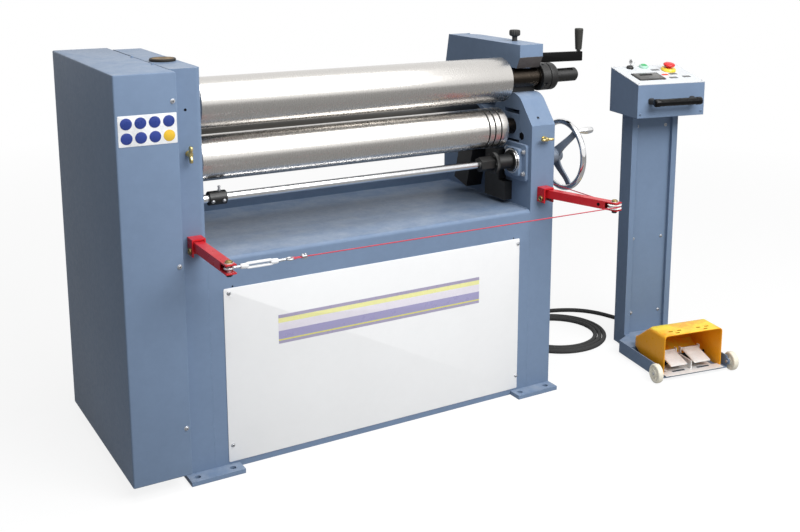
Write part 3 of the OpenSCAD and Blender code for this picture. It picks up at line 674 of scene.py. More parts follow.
@dataclass(frozen=True)
class Moulded(Finish):
    """Moulded plastic or rubber with a fine texture and scuffs."""

    colour: Colour
    roughness: float = 0.42
    texture: float = 900.0
    depth: float = 0.15
    scuff: float = 0.25
    gloss: float = 0.3
    edge: float = 0.001

    def dress(self, n: Nodes, shader: bpy.types.Node) -> None:
        """A fine bump, cloudy gloss, and paler scuffs along the edges.

        Args:
            n: Builder of the material's nodes.
            shader: The Principled node.
        """
        edges = n.effect(soft_edges(), Radius=self.edge)
        tone = n.effect(mottle(), Scale=25.0)[0]
        colour = n.blend(tone, scaled(self.colour, 0.88), scaled(self.colour, 1.08))
        rub = n.effect(wear(), Edge=edges["Mask"], Amount=self.scuff, Scale=140.0)[0]
        colour = n.blend(rub, colour, tuple(0.6 * c + 0.18 for c in self.colour[:3]) + (1.0,))
        colour = n.blend(n.effect(upward_dust_and_light(), Amount=0.12)[0], colour, shade(170, 168, 160))
        rough = n.span(tone, 0, 1, self.roughness - 0.05, self.roughness + 0.08)
        bump = n.bump(self.depth, 0.0004, n.noise(n.place(), self.texture, 2.0), Normal=edges["Normal"])
        n.feed(shader, {"Base Color": colour, "Roughness": rough, "Normal": bump, "Specular IOR Level": self.gloss})


@dataclass(frozen=True)
class Striped(Finish):
    """A printed film with level bands of colour."""

    low: float
    high: float
    bands: tuple[tuple[float, Colour], ...]

    def dress(self, n: Nodes, shader: bpy.types.Node) -> None:
        """Height between low and high picks the band; a fine noise dulls the print.

        Args:
            n: Builder of the material's nodes.
            shader: The Principled node.
        """
        level = n.add("SeparateXYZ", {0: n.place()}).outputs["Z"]
        ramp = n.add("ValToRGB", {0: n.span(level, self.low, self.high)})
        ramp.color_ramp.interpolation = "CONSTANT"
        while len(ramp.color_ramp.elements) < len(self.bands):
            ramp.color_ramp.elements.new(1.0)
        for element, (start, colour) in zip(ramp.color_ramp.elements, self.bands):
            element.position = start
            element.color = colour
        tone = n.effect(mottle(), Scale=40.0)[0]
        colour = n.blend(n.times(tone, 0.12), ramp.outputs[0], shade(150, 150, 150))
        bump = n.bump(0.08, 0.0004, n.noise(n.place(), 500.0))
        n.feed(shader, {"Base Color": colour, "Roughness": n.span(tone, 0, 1, 0.24, 0.36), "Normal": bump})


ANY_WAY = (1, 1, 1)
# Its default film, a paler grey on up-facing faces, is dusting and painted top light, which keeps the tops lighter than
# the fronts
PAINT = Enamel("machine_enamel", shade(115, 134, 160), gloss=0.1)
WHITE_PAINT = Enamel("white_enamel", shade(232, 233, 234), 0.4, rubbed=0.2, top_dust_and_light=0.1, cloud=0.012, edge=0.001)
OVERLAY = Enamel("panel_overlay", shade(208, 211, 214), 0.42, rubbed=0.2, top_dust_and_light=0.1, cloud=0.012, edge=0.001)
WHITE_METAL = Enamel("white_metal", shade(228, 230, 232), 0.3, rubbed=0.3, top_dust_and_light=0.0, gloss=0.3, cloud=0.02,
                     edge=0.0006)
RED_PAINT = Enamel("red_enamel", shade(196, 30, 38), 0.3, rubbed=0.35, top_dust_and_light=0.1, gloss=0.3, edge=0.0012)
# The yellow film covers nearly all of the guard's tops: painted top light, making the tops lighter and yellower than
# the orange sides
GUARD_PAINT = Enamel("yellow_enamel", shade(252, 172, 34), 0.3, rubbed=0.3, top_dust_and_light=2.5, gloss=0.3,
                     film=shade(238, 216, 78))
ROLL_STEEL = Steel("ground_roll_steel", shade(214, 211, 207), 0.26, depth=0.01, stain=0.1, streak=0.025, edge=0.0)
# The rear roll's steel is darkened as painted shade, for the gap between the other two rolls where shade falls
SHADED_REAR_ROLL_STEEL = Steel("rear_roll_steel_painted_shade", shade(64, 62, 59), 0.3, depth=0.01, stain=0.3, streak=0.04, edge=0.0)
# The journals' steel is darkened as a painted dark reflection of shaded surroundings
JOURNAL_STEEL_PAINTED_DARK = Steel("journal_steel_painted_dark_reflection", shade(60, 54, 48), 0.24, stain=0.5)
SHAFT_STEEL = Steel("polished_shaft_steel", shade(234, 235, 237), 0.18, stain=0.08)
CHROME = Steel("chrome", shade(190, 192, 196), 0.14, ANY_WAY, 300.0, stain=0.35)
CAST_SPOKE = Steel("cast_spoke", shade(132, 142, 156), 0.36, ANY_WAY, 400.0, metal=0.5)
BLACKED = Steel("blacked_steel", shade(62, 62, 62), 0.4, metal=0.85, stain=0.4)
BLACK_BAR = Steel("black_bar", shade(17, 17, 17), 0.36, (0.03, 1, 1), metal=0.2, stain=0.4, gloss=0.15)
DULL_IRON = Steel("dull_iron", shade(112, 108, 108), 0.5, (1, 1, 0.3), metal=0.8, stain=0.5)
ZINC = Steel("zinc", shade(190, 194, 199), 0.3, ANY_WAY, 500.0, stain=0.3)
BRASS = Steel("brass", shade(204, 196, 174), 0.28, ANY_WAY, 400.0, stain=0.4)
DULL_BRASS = Steel("dull_brass", shade(160, 140, 92), 0.36, ANY_WAY, 400.0, stain=0.5)
PEDAL_METAL = Steel("pedal_metal", shade(232, 232, 231), 0.4, (0.04, 1, 1), metal=0.3, stain=0.12)
BLACK_PLASTIC = Moulded("black_plastic", shade(22, 22, 23), 0.34, gloss=0.2)
BLACK_GLOSS = Moulded("black_gloss", shade(12, 12, 13), 0.16, depth=0.04, gloss=0.2)
GRIP_PLASTIC = Moulded("grip_plastic", shade(52, 52, 49), 0.5, 500.0, 0.5)
CAP_PLASTIC = Moulded("cap_plastic", shade(40, 36, 30), 0.55)
CAP_FELT = Moulded("cap_felt", shade(128, 108, 80), 0.8, 350.0, 0.8)
RED_PLASTIC = Moulded("red_plastic", shade(202, 58, 46), 0.34)
YELLOW_PLASTIC = Moulded("yellow_plastic", shade(236, 202, 76), 0.4)
GREEN_PLASTIC = Moulded("green_plastic", shade(52, 146, 112), 0.35)
PALE_GREEN = Moulded("pale_green", shade(168, 208, 190), 0.3)
WHITE_PLASTIC = Moulded("white_plastic", shade(226, 224, 218))
CREAM_PLASTIC = Moulded("cream_plastic", shade(222, 208, 184), 0.5, scuff=0.5)
BLUE_FILM = Moulded("blue_film", shade(48, 66, 138), 0.3, scuff=0.0)
AMBER_FILM = Moulded("amber_film", shade(222, 182, 60), 0.3, scuff=0.0)
WHITE_FILM = Moulded("white_film", shade(232, 234, 236), 0.3, scuff=0.0)
GREY_FILM = Moulded("grey_film", shade(92, 94, 96), 0.35, scuff=0.0)
SCREEN = Moulded("screen", shade(74, 74, 72), 0.18, depth=0.05, scuff=0.1)
SHEATH = Moulded("cable_sheath", shade(34, 34, 33), 0.28, 700.0, 0.3, 0.0)
ROPE_SKIN = Moulded("rope_skin", shade(190, 62, 80), 0.45, 900.0, 0.4, 0.0)
# Near black: painted shade inside holes, screw recesses and groove floors, and a printed dark band on the console's
# display
PAINTED_SHADE_AND_PRINT_DARK = Moulded("painted_shade_and_print_dark", shade(16, 18, 22), 0.7, scuff=0.0, gloss=0.05)
# Dark grey for seams between panels, and painted shade for the slots in the pedal plate
SEAM_AND_SLOT_SHADE = Moulded("dark_seam_and_slot_shade", shade(44, 52, 64), 0.7, scuff=0.0, gloss=0.05)
STRIPES = Striped("stripe_film", 0.343, 0.429, (
    (0.0, shade(168, 162, 190)), (0.1, shade(222, 218, 120)), (0.15, shade(160, 156, 196)),
    (0.44, shade(226, 222, 232)), (0.72, shade(232, 230, 160)), (0.88, shade(158, 152, 178))))


# ------------------------------------------------------------------ pieces
class Slot(Enum):
    """The record's material slots."""

    PAINT = "machine_paint"
    WHITE = "white_paint"
    STEEL = "polished_steel"
    DARK = "dark_steel"
    BRIGHT = "bright_metal"
    CHROME = "chrome"
    BLACK = "black_plastic"
    BLACK_METAL = "black_metal"
    BRASS = "brass"
    ZINC = "zinc"
    ROPE = "red_rope"
    WHITE_PLASTIC = "white_plastic"
    YELLOW_PLASTIC = "yellow_plastic"
    RED_PLASTIC = "red_plastic"
    GREEN = "green_plastic"
    YELLOW = "yellow_paint"
    CREAM = "cream_plastic"
    SHEATH = "cable_sheath"


class Piece:
    """One visible piece: solids and their finishes, gathered into one mesh."""

    def __init__(self, name: str, body: str, slot: Slot, *replaced: str) -> None:
        """Names the piece, its body, its slot, and the CAD nodes that it stands for."""
        self.name, self.body, self.slot, self.replaced = name, body, slot, replaced
        self.parts: list[tuple[Solid, Finish]] = []

    def add(self, solid: Solid, finish: Finish, *places: np.ndarray) -> "Piece":
        """Adds a solid once, or once at each place."""
        self.parts += [(solid.placed(m), finish) for m in places] if places else [(solid, finish)]
        return self

    def turn(self, profile: Sequence[tuple[float, float]], sides: int, finish: Finish, *places: np.ndarray) -> "Piece":
        """Adds a turned solid."""
        return self.add(lathe(profile, sides), finish, *places)

    def rod(self, low: float, high: float, radius: float, sides: int, finish: Finish, *places: np.ndarray) -> "Piece":
        """Adds a plain round bar between two heights."""
        return self.turn([(low, radius), (high, radius)], sides, finish, *places)

    def build(self, crease: float = 32.0) -> bpy.types.Object:
        """Makes the object, smooth but for creases above an angle in degrees.

        Args:
            crease: Angle in degrees above which an edge stays sharp.

        Returns:
            The object, riding on its body.
        """
        finishes = list(dict.fromkeys(finish for _, finish in self.parts))
        faces, index, start = [], [], 0
        for solid, finish in self.parts:
            new = (solid.quads + start).tolist() + [(cap + start).tolist() for cap in solid.caps]
            faces += new
            index += [finishes.index(finish)] * len(new)
            start += len(solid.points)
        mesh = bpy.data.meshes.new(self.name)
        mesh.from_pydata(np.concatenate([solid.points for solid, _ in self.parts]).tolist(), [], faces)
        for finish in finishes:
            mesh.materials.append(finish.material())
        mesh.polygons.foreach_set("material_index", np.array(index, np.int32))
        mesh.shade_smooth()
        mesh.set_sharp_from_angle(angle=math.radians(crease))
        mesh.update()
        obj = link(self.name, mesh)
        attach(obj, self.body)
        if self.replaced:
            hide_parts(*self.replaced)
        LOG.info("%s on %s: %d faces", self.name, self.body, len(faces))
        return obj


def dress_node(finish: Finish, *nodes: str) -> None:
    """Gives CAD nodes whose shape is right a better material.

    Args:
        finish: The material to give.
        nodes: Names of the nodes.
    """
    for name in nodes:
        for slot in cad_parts[name].material_slots:
            slot.material = finish.material()
        LOG.info("%s wears %s", name, finish.name)


# ------------------------------------------------------------------ fasteners
def hexagon(across: float) -> np.ndarray:
    """A hexagon by its width across flats."""
    a = around(6) + math.pi / 6
    return across / math.sqrt(3) * np.stack([np.cos(a), np.sin(a)], 1)


def hex_head(across: float, height: float) -> Solid:
    """A hexagon head with a chamfered top."""
    return slab(hexagon(across), [(0, 0), (height * 0.8, 0), (height, across * 0.07)])


def cup_head(radius: float, height: float) -> Solid:
    """A round head whose face dips towards the middle."""
    r, h = radius, height
    return lathe([(0, r), (h * 0.45, r), (h * 0.8, r * 0.9), (h, r * 0.7), (h, r * 0.5), (h * 0.5, r * 0.42)], 20)


def washer(radius: float, thick: float = 0.001) -> Solid:
    """A flat ring, drawn as a disc because a head covers its middle."""
    return lathe([(0, radius), (thick * 0.7, radius), (thick, radius * 0.95)], 24)


def screw(piece: Piece, where: np.ndarray, radius: float = 0.0045, finish: Finish = ZINC) -> None:
    """Adds a round-headed screw on a washer, with a dark disc of painted shade in its recess.

    Args:
        piece: The piece it is added to.
        where: Its place, with +Z out of the surface.
        radius: Radius of the head.
        finish: Finish of head and washer.
    """
    piece.add(washer(radius * 1.45), finish, where)
    piece.add(cup_head(radius, radius * 0.8), finish, where @ moved(0, 0, 0.001))
    # A dark hexagon of painted shade in the head's recess
    piece.rod(0, radius * 0.06, radius * 0.4, 6, PAINTED_SHADE_AND_PRINT_DARK, where @ moved(0, 0, 0.001 + radius * 0.4))


def bolt(piece: Piece, where: np.ndarray, across: float, height: float) -> None:
    """Adds a hexagon bolt on a washer."""
    piece.add(washer(across * 0.8, 0.0015), ZINC, where)
    piece.add(hex_head(across, height), ZINC, where @ moved(0, 0, 0.0015))


def hole(piece: Piece, where: np.ndarray, radius: float) -> None:
    """Adds a small hole: a dark disc of painted shade for its inside, within a thin ring of machine enamel."""
    piece.add(torus(radius, radius * 0.12, 24, 8, 0.4), PAINT, where)
    # The dark disc is painted shade for the inside of the hole
    piece.turn([(-0.001, radius), (0.0002, radius * 0.98)], 20, PAINTED_SHADE_AND_PRINT_DARK, where)


# ------------------------------------------------------------------ studio
@dataclass
class Studio:
    """Camera, floor, soft lamps and white surroundings."""

    place: Point = (-1.4864273, -3.0119596, 1.5021525)
    heading: float = 0.5652093710767578
    dip: float = 0.19760991294295074
    roll: float = 0.00912693135188615
    focal: float = 1086.2895
    middle: tuple[float, float] = (456.5514633594787, 149.04383437579315)
    picture: tuple[int, int] = (800, 532)
    sensor: float = 36.0
    floor_half: float = 40.0
    floor_drop: float = 0.0004
    floor_tone: float = 0.15
    floor_glow: float = 0.86
    floor_bounce: float = 0.46
    floor_mirror: float = 0.05
    near: float = 1.8
    far: float = 5.0
    mirror_glow: float = 0.3
    sky: float = 0.22

    def camera(self) -> None:
        """Stands the camera: it looks along the heading from +Y towards +X, and dips."""
        ahead = np.array([math.sin(self.heading) * math.cos(self.dip),
                          math.cos(self.heading) * math.cos(self.dip), -math.sin(self.dip)])
        right = np.array([math.cos(self.heading), -math.sin(self.heading), 0.0])
        up = np.cross(right, ahead)
        c, s = math.cos(self.roll), math.sin(self.roll)
        right, up = c * right + s * up, c * up - s * right
        m = np.eye(4)
        m[:3, 0], m[:3, 1], m[:3, 2], m[:3, 3] = right, up, -ahead, self.place
        data = bpy.data.cameras.new("camera")
        width, height = self.picture
        data.sensor_width, data.lens = self.sensor, self.focal * self.sensor / width
        data.shift_x = (width / 2 - self.middle[0]) / width
        data.shift_y = (self.middle[1] - height / 2) / width
        data.clip_end = 100.0
        bpy.context.scene.camera = link("camera", data, m)

    def floor(self) -> None:
        """Lays a pale floor that looks white and keeps the object's shadow.

        Near the object the floor is lit, so that shadows show; its own glow takes over
        further out, between the near and the far distance. In reflections it is a plain
        grey floor, so that polished pieces have a dark lower half.
        """
        mesh = bpy.data.meshes.new("floor")
        h = self.floor_half
        corners = np.array([[-h, -h], [h, -h], [h, h], [-h, h]])
        points = np.concatenate([corners, np.full((4, 1), -self.floor_drop)], 1)
        mesh.from_pydata(points.tolist(), [], [[0, 1, 2, 3]])
        material = bpy.data.materials.new("pale_floor")
        material.use_nodes = True
        n = Nodes(material.node_tree)
        n.tree.nodes.remove(n.tree.nodes["Principled BSDF"])
        out = n.tree.nodes["Material Output"]
        path = n.add("LightPath").outputs
        straight = n.maths("MAXIMUM", path["Is Camera Ray"], path["Is Transmission Ray"])
        mirrored = path["Is Glossy Ray"]
        away = n.add("VectorMath", {0: n.place()}, operation="LENGTH").outputs["Value"]
        shown = n.span(away, self.near, self.far, self.floor_tone, 0.0)
        hidden = n.span(mirrored, 0, 1, self.floor_bounce, self.floor_mirror)
        lit = n.add("BsdfDiffuse", {"Color": n.span(straight, 0, 1, hidden, shown)})
        white = n.times(straight, n.span(away, self.near, self.far, self.floor_glow, 1.0))
        grey = n.times(mirrored, self.mirror_glow)
        glow = n.add("Emission", {"Color": (1, 1, 1, 1), "Strength": n.maths("ADD", white, grey)})
        both = n.add("AddShader", {0: lit.outputs[0], 1: glow.outputs[0]})
        n.tree.links.new(both.outputs[0], out.inputs[0])
        mesh.materials.append(material)
        link("floor", mesh)

    def surroundings(self) -> None:
        """A white background that lights the object only softly.

        It is white for the rays that show it, straight, mirrored or through glass.
        """
        world = bpy.data.worlds.new("studio")
        world.use_nodes = True
        bpy.context.scene.world = world
        n = Nodes(world.node_tree)
        path = n.add("LightPath").outputs
        both = n.maths("MAXIMUM", path["Is Camera Ray"], path["Is Glossy Ray"])
        seen = n.maths("MAXIMUM", both, path["Is Transmission Ray"])
        n.feed(n.tree.nodes["Background"], {"Color": (1, 1, 1, 1), "Strength": n.span(seen, 0, 1, self.sky, 1.0)})

    @staticmethod
    def lamp(name: str, place: Point, aim: Point, size: tuple[float, float], power: float) -> None:
        """Hangs one soft rectangular lamp that looks at a point.

        Args:
            name: Name of the lamp.
            place: Where it hangs.
            aim: The point it looks at.
            size: Width and height.
            power: Power in watts.
        """
        data = bpy.data.lights.new(name, "AREA")
        data.shape, data.size, data.size_y, data.energy = "RECTANGLE", *size, power
        link(name, data, facing(place, np.subtract(place, aim)))

    def build(self) -> None:
        """Camera first, then floor, surroundings and lamps."""
        bpy.context.scene.view_settings.view_transform = "Standard"
        self.camera()
        self.floor()
        self.surroundings()
        self.lamp("over_lamp", (0.2, -1.0, 3.6), (0.2, 0.0, 0.6), (3.4, 1.6), 62.0)
        self.lamp("front_lamp", (0.9, -3.6, 3.5), (0.1, 0.0, 0.6), (3.6, 2.0), 204.0)


# ------------------------------------------------------------------ floor cable
@dataclass
class FloorCable:
    """The cable from the machine, through its coil on the floor, to the console."""

    radius: float = 0.008
    turns: int = 3
    coil_centre: tuple[float, float] = (0.935, 0.092)
    coil_start: float = 188.3
    first_radius: float = 0.15
    step_out: float = 0.016
    slack: float = 0.004
    shift_from: float = -175.0
    shift_span: float = 60.0
    rest: float = 0.009
    over: float = 0.0255
    point_every: float = -15.0
    last_part: float = 14.0
    apart_at: float = -115.0
    apart_after: float = 0.4
    enter_at: float = 150.0
    enter_span: float = 65.0
    enter_out: float = 0.021
    machine_gland: Point = (0.631, -0.04, 0.048)
    console_gland: Point = (0.03, 0.071, 0.09)
    machine_route: tuple[Point, ...] = (
        (0.644, -0.04, 0.048), (0.66, -0.04, 0.048), (0.684, -0.038, 0.044), (0.704, -0.033, 0.036),
        (0.722, -0.022, 0.029), (0.735, -0.006, 0.0255), (0.743, 0.015, 0.0255), (0.747, 0.04, 0.0255))
    console_route: tuple[Point, ...] = (
        (0.821, 0.254, 0.009), (0.838, 0.266, 0.009), (0.858, 0.278, 0.009), (0.88, 0.288, 0.009),
        (0.918, 0.301, 0.009), (0.958, 0.308, 0.009), (1.0, 0.309, 0.009), (1.042, 0.302, 0.009),
        (1.082, 0.29, 0.009), (1.12, 0.273, 0.009), (1.154, 0.251, 0.009), (1.182, 0.224, 0.009),
        (1.204, 0.192, 0.009), (1.22, 0.158, 0.009), (1.229, 0.122, 0.01), (1.231, 0.086, 0.014),
        (1.229, 0.05, 0.024), (1.225, 0.018, 0.042), (1.22, -0.01, 0.064), (1.214, -0.036, 0.084),
        (1.209, -0.059, 0.09), (1.2055, -0.08, 0.09))

    def coil(self) -> np.ndarray:
        """The turns, clockwise from above.

        The radius grows by a cable's thickness in one part of each turn, as a smooth
        step, so that the turns lie side by side. The way in crosses over the outer
        turns and comes down beside them on a quarter circle. On one side the turns
        stand apart, by the slack times the turn's number.

        Returns:
            The points of the turns, one row for each.
        """
        end = self.shift_from - 360.0 * (self.turns - 1) - self.shift_span + self.last_part
        a = np.arange(self.coil_start, end, self.point_every)
        r = np.full(len(a), self.first_radius)
        for k in range(self.turns):
            t = np.clip((self.shift_from - 360.0 * k - a) / self.shift_span, 0, 1)
            r += self.step_out * t * t * (3 - 2 * t)
        turn = np.clip((self.coil_start - a) / 360.0 - self.apart_after, 0, None)
        r += self.slack * turn * ((1 + np.cos(np.radians(a - self.apart_at))) / 2) ** 3
        drop = np.clip((self.enter_at - a) / self.enter_span, 0, 1) * (math.pi / 2)
        slide = np.clip((a - self.enter_at) / (self.coil_start - self.enter_at), 0, 1)
        enter = a > self.enter_at - self.enter_span
        side = self.first_radius + self.step_out * (1 - np.sin(drop)) + self.enter_out * slide
        r = np.where(enter, side, r)
        z = np.where(enter, self.rest + (self.over - self.rest) * np.cos(drop), self.rest)
        cx, cy = self.coil_centre
        return rows(cx + r * np.cos(np.radians(a)), cy + r * np.sin(np.radians(a)), z)

    def build(self) -> None:
        points = np.concatenate([self.machine_route, self.coil(), self.console_route])
        path = flow(points, 0.006)
        piece = Piece("floor_cable", "machine", Slot.SHEATH, "machine_cable", "console_cable", "cable_coil")
        obj = piece.add(tube(path, self.radius, 14), SHEATH).build()
        self.glands()

    def glands(self) -> None:
        """The two cable glands: a nut, a clamping cap, and a tapered sleeve with grooves."""
        a = np.linspace(0, 1, 25)
        ripple = 0.0132 - 0.0034 * a + 0.0005 * np.cos(a * 2 * math.pi * 6)
        profile = [(0.0078, 0.015), (0.0098, 0.0145)] + list(zip((0.01 + 0.018 * a).tolist(), ripple.tolist()))
        piece = Piece("gland_pair", "machine", Slot.BLACK, "cable_glands")
        for where in (along_x(*self.machine_gland), at_console(*self.console_gland, REAR)):
            piece.add(hex_head(0.0275, 0.008), BLACK_PLASTIC, where)
            piece.turn(profile, 28, BLACK_PLASTIC, where)
        piece.build()


# ------------------------------------------------------------------ rolls
@dataclass
class Rolls:
    """The three rolls with their journals, blocks and end collars."""

    left: float = -0.526
    right: float = 0.496
    lower_right: float = 0.486
    top: tuple[float, float] = (-0.152, 1.036)
    lower: tuple[float, float] = (-0.152, 0.8815)
    rear: tuple[float, float] = (0.005, 0.874)
    top_r: float = 0.071
    lower_r: float = 0.0645
    journal_r: float = 0.03
    stub_r: float = 0.026
    outer: float = 0.631
    collar: float = 0.635
    collar_r: float = 0.045
    shaft_r: float = 0.0225
    collars: float = 0.065
    keyed: float = 0.077
    key: tuple[float, float, float] = (0.012, 0.006, math.radians(30))
    grooves: tuple[float, ...] = (0.026, 0.049, 0.071)
    groove_w: float = 0.005
    groove_d: float = 0.004
    shadow_d: float = 0.0028

    def barrel(self, radius: float, right: float, grooves: Sequence[float] = ()) -> list[tuple[float, float]]:
        """Profile of a roll's body: rounded shoulders, and a square groove at each distance.

        Args:
            radius: Radius of the roll.
            right: X of its right end.
            grooves: Distances of the grooves from that end.

        Returns:
            Pairs of X and radius.
        """
        edge = 0.0025
        body = [(self.left, radius - edge), (self.left + 0.0008, radius - 0.0008), (self.left + edge, radius)]
        for d in sorted(grooves, reverse=True):
            a, b, floor = right - d - self.groove_w, right - d, radius - self.groove_d
            body += [(a - 0.0005, radius), (a, radius - 0.0005), (a, floor), (b, floor), (b, radius - 0.0005),
                     (b + 0.0005, radius)]
        return body + [(right - edge, radius), (right - 0.0008, radius - 0.0008), (right, radius - edge)]

    def keyed_end(self) -> Solid:
        """The stretch of shaft with its keyway: a circle whose top is cut flat between two walls.

        Returns:
            The closed surface.
        """
        width, depth, turn = self.key
        r, half = self.shaft_r, math.asin(width / 2 / self.shaft_r)
        a = np.linspace(math.pi / 2 + half, math.pi / 2 - half + 2 * math.pi, 60)
        floor_y = r - depth
        outline = np.concatenate([np.stack([r * np.cos(a), r * np.sin(a)], 1),
                                  [[width / 2, floor_y], [-width / 2, floor_y]]])
        place = along_x(self.collar + self.collars, *self.top) @ turned(turn, "Z")
        return slab(outline, [(0, 0), (self.keyed, 0)]).placed(place)

    def top_roll(self) -> None:
        """The top roll, its journal, the blacked collars and the keyed end."""
        piece = Piece("upper_roll", "top_roll", Slot.STEEL, "top_roll")
        axis = along_x(0, *self.top)
        piece.turn(self.barrel(self.top_r, self.right), 160, ROLL_STEEL, axis)
        # The journals use steel darkened as a painted dark reflection
        piece.rod(-0.66, self.left + 0.001, self.journal_r, 64, JOURNAL_STEEL_PAINTED_DARK, axis)
        journal = [(self.right - 0.001, self.journal_r + 0.006), (self.right + 0.004, self.journal_r + 0.006),
                   (self.right + 0.006, self.journal_r), (self.collar, self.journal_r)]
        piece.turn(journal, 72, JOURNAL_STEEL_PAINTED_DARK, axis)
        r, e = self.collar_r, 0.0015
        collars = [(0, r - e), (e, r), (0.0315 - e, r), (0.0315, r - e), (0.0315, r - 0.004), (0.0335, r - 0.004),
                   (0.0335, r - e), (0.0335 + e, r), (0.054, r), (0.058, r - 0.0012), (0.062, r - 0.0045),
                   (0.065, r - 0.01)]
        piece.turn(collars, 96, BLACKED, along_x(self.collar, *self.top))
        # Four dark discs on the collar: painted shade for its holes
        for k in range(4):
            spin = turned(k * math.pi / 2 + 0.4, "Z")
            spot = along_x(self.collar + 0.013, *self.top) @ spin @ facing((r - 0.0006, 0, 0), RIGHT, REAR)
            piece.turn([(-0.001, 0.0048), (0.0008, 0.0046)], 16, PAINTED_SHADE_AND_PRINT_DARK, spot)
        piece.add(self.keyed_end(), BLACKED)
        s = self.shaft_r
        piece.turn([(0, s), (0.014, s), (0.02, s - 0.0055), (0.022, s - 0.008)], 64, BLACKED,
                   along_x(self.collar + self.collars + self.keyed, *self.top))
        piece.build()

    def bending_roll(self, name: str, body: str, axis: tuple[float, float], right: float, grooves: Sequence[float],
                     finish: Finish) -> None:
        """A lower roll: body, dark groove floors, and stubs.

        Args:
            name: Name of the piece.
            body: The body it rides on, and the node it replaces.
            axis: Y and Z of its axis.
            right: X of its right end.
            grooves: Distances of the grooves from that end.
            finish: Finish of the roll's body.
        """
        piece = Piece(name, body, Slot.STEEL, body)
        middle = along_x(0, *axis)
        piece.turn(self.barrel(self.lower_r, right, grooves), 144, finish, middle)
        # Dark rings on the groove floors: painted shade
        for d in grooves:
            piece.rod(right - d - 0.0049, right - d - 0.0001, self.lower_r - self.shadow_d, 96, PAINTED_SHADE_AND_PRINT_DARK, middle)
        for a, b in ((-0.62, self.left + 0.001), (right - 0.001, self.outer - 0.004)):
            piece.rod(a, b, self.stub_r, 48, JOURNAL_STEEL_PAINTED_DARK, middle)
        piece.build()

    def build(self) -> None:
        """Builds the rolls and dresses what carries them."""
        self.top_roll()
        self.bending_roll("pinch_roll", "lower_roll", self.lower, self.lower_right, self.grooves, ROLL_STEEL)
        # The rear roll's dark steel is painted shade
        self.bending_roll("back_roll", "rear_roll", self.rear, self.right, (), SHADED_REAR_ROLL_STEEL)
        dress_node(PAINT, "lower_blocks", "rear_blocks")
        dress_node(BLACKED, "lift_guides", "roll_saddle")


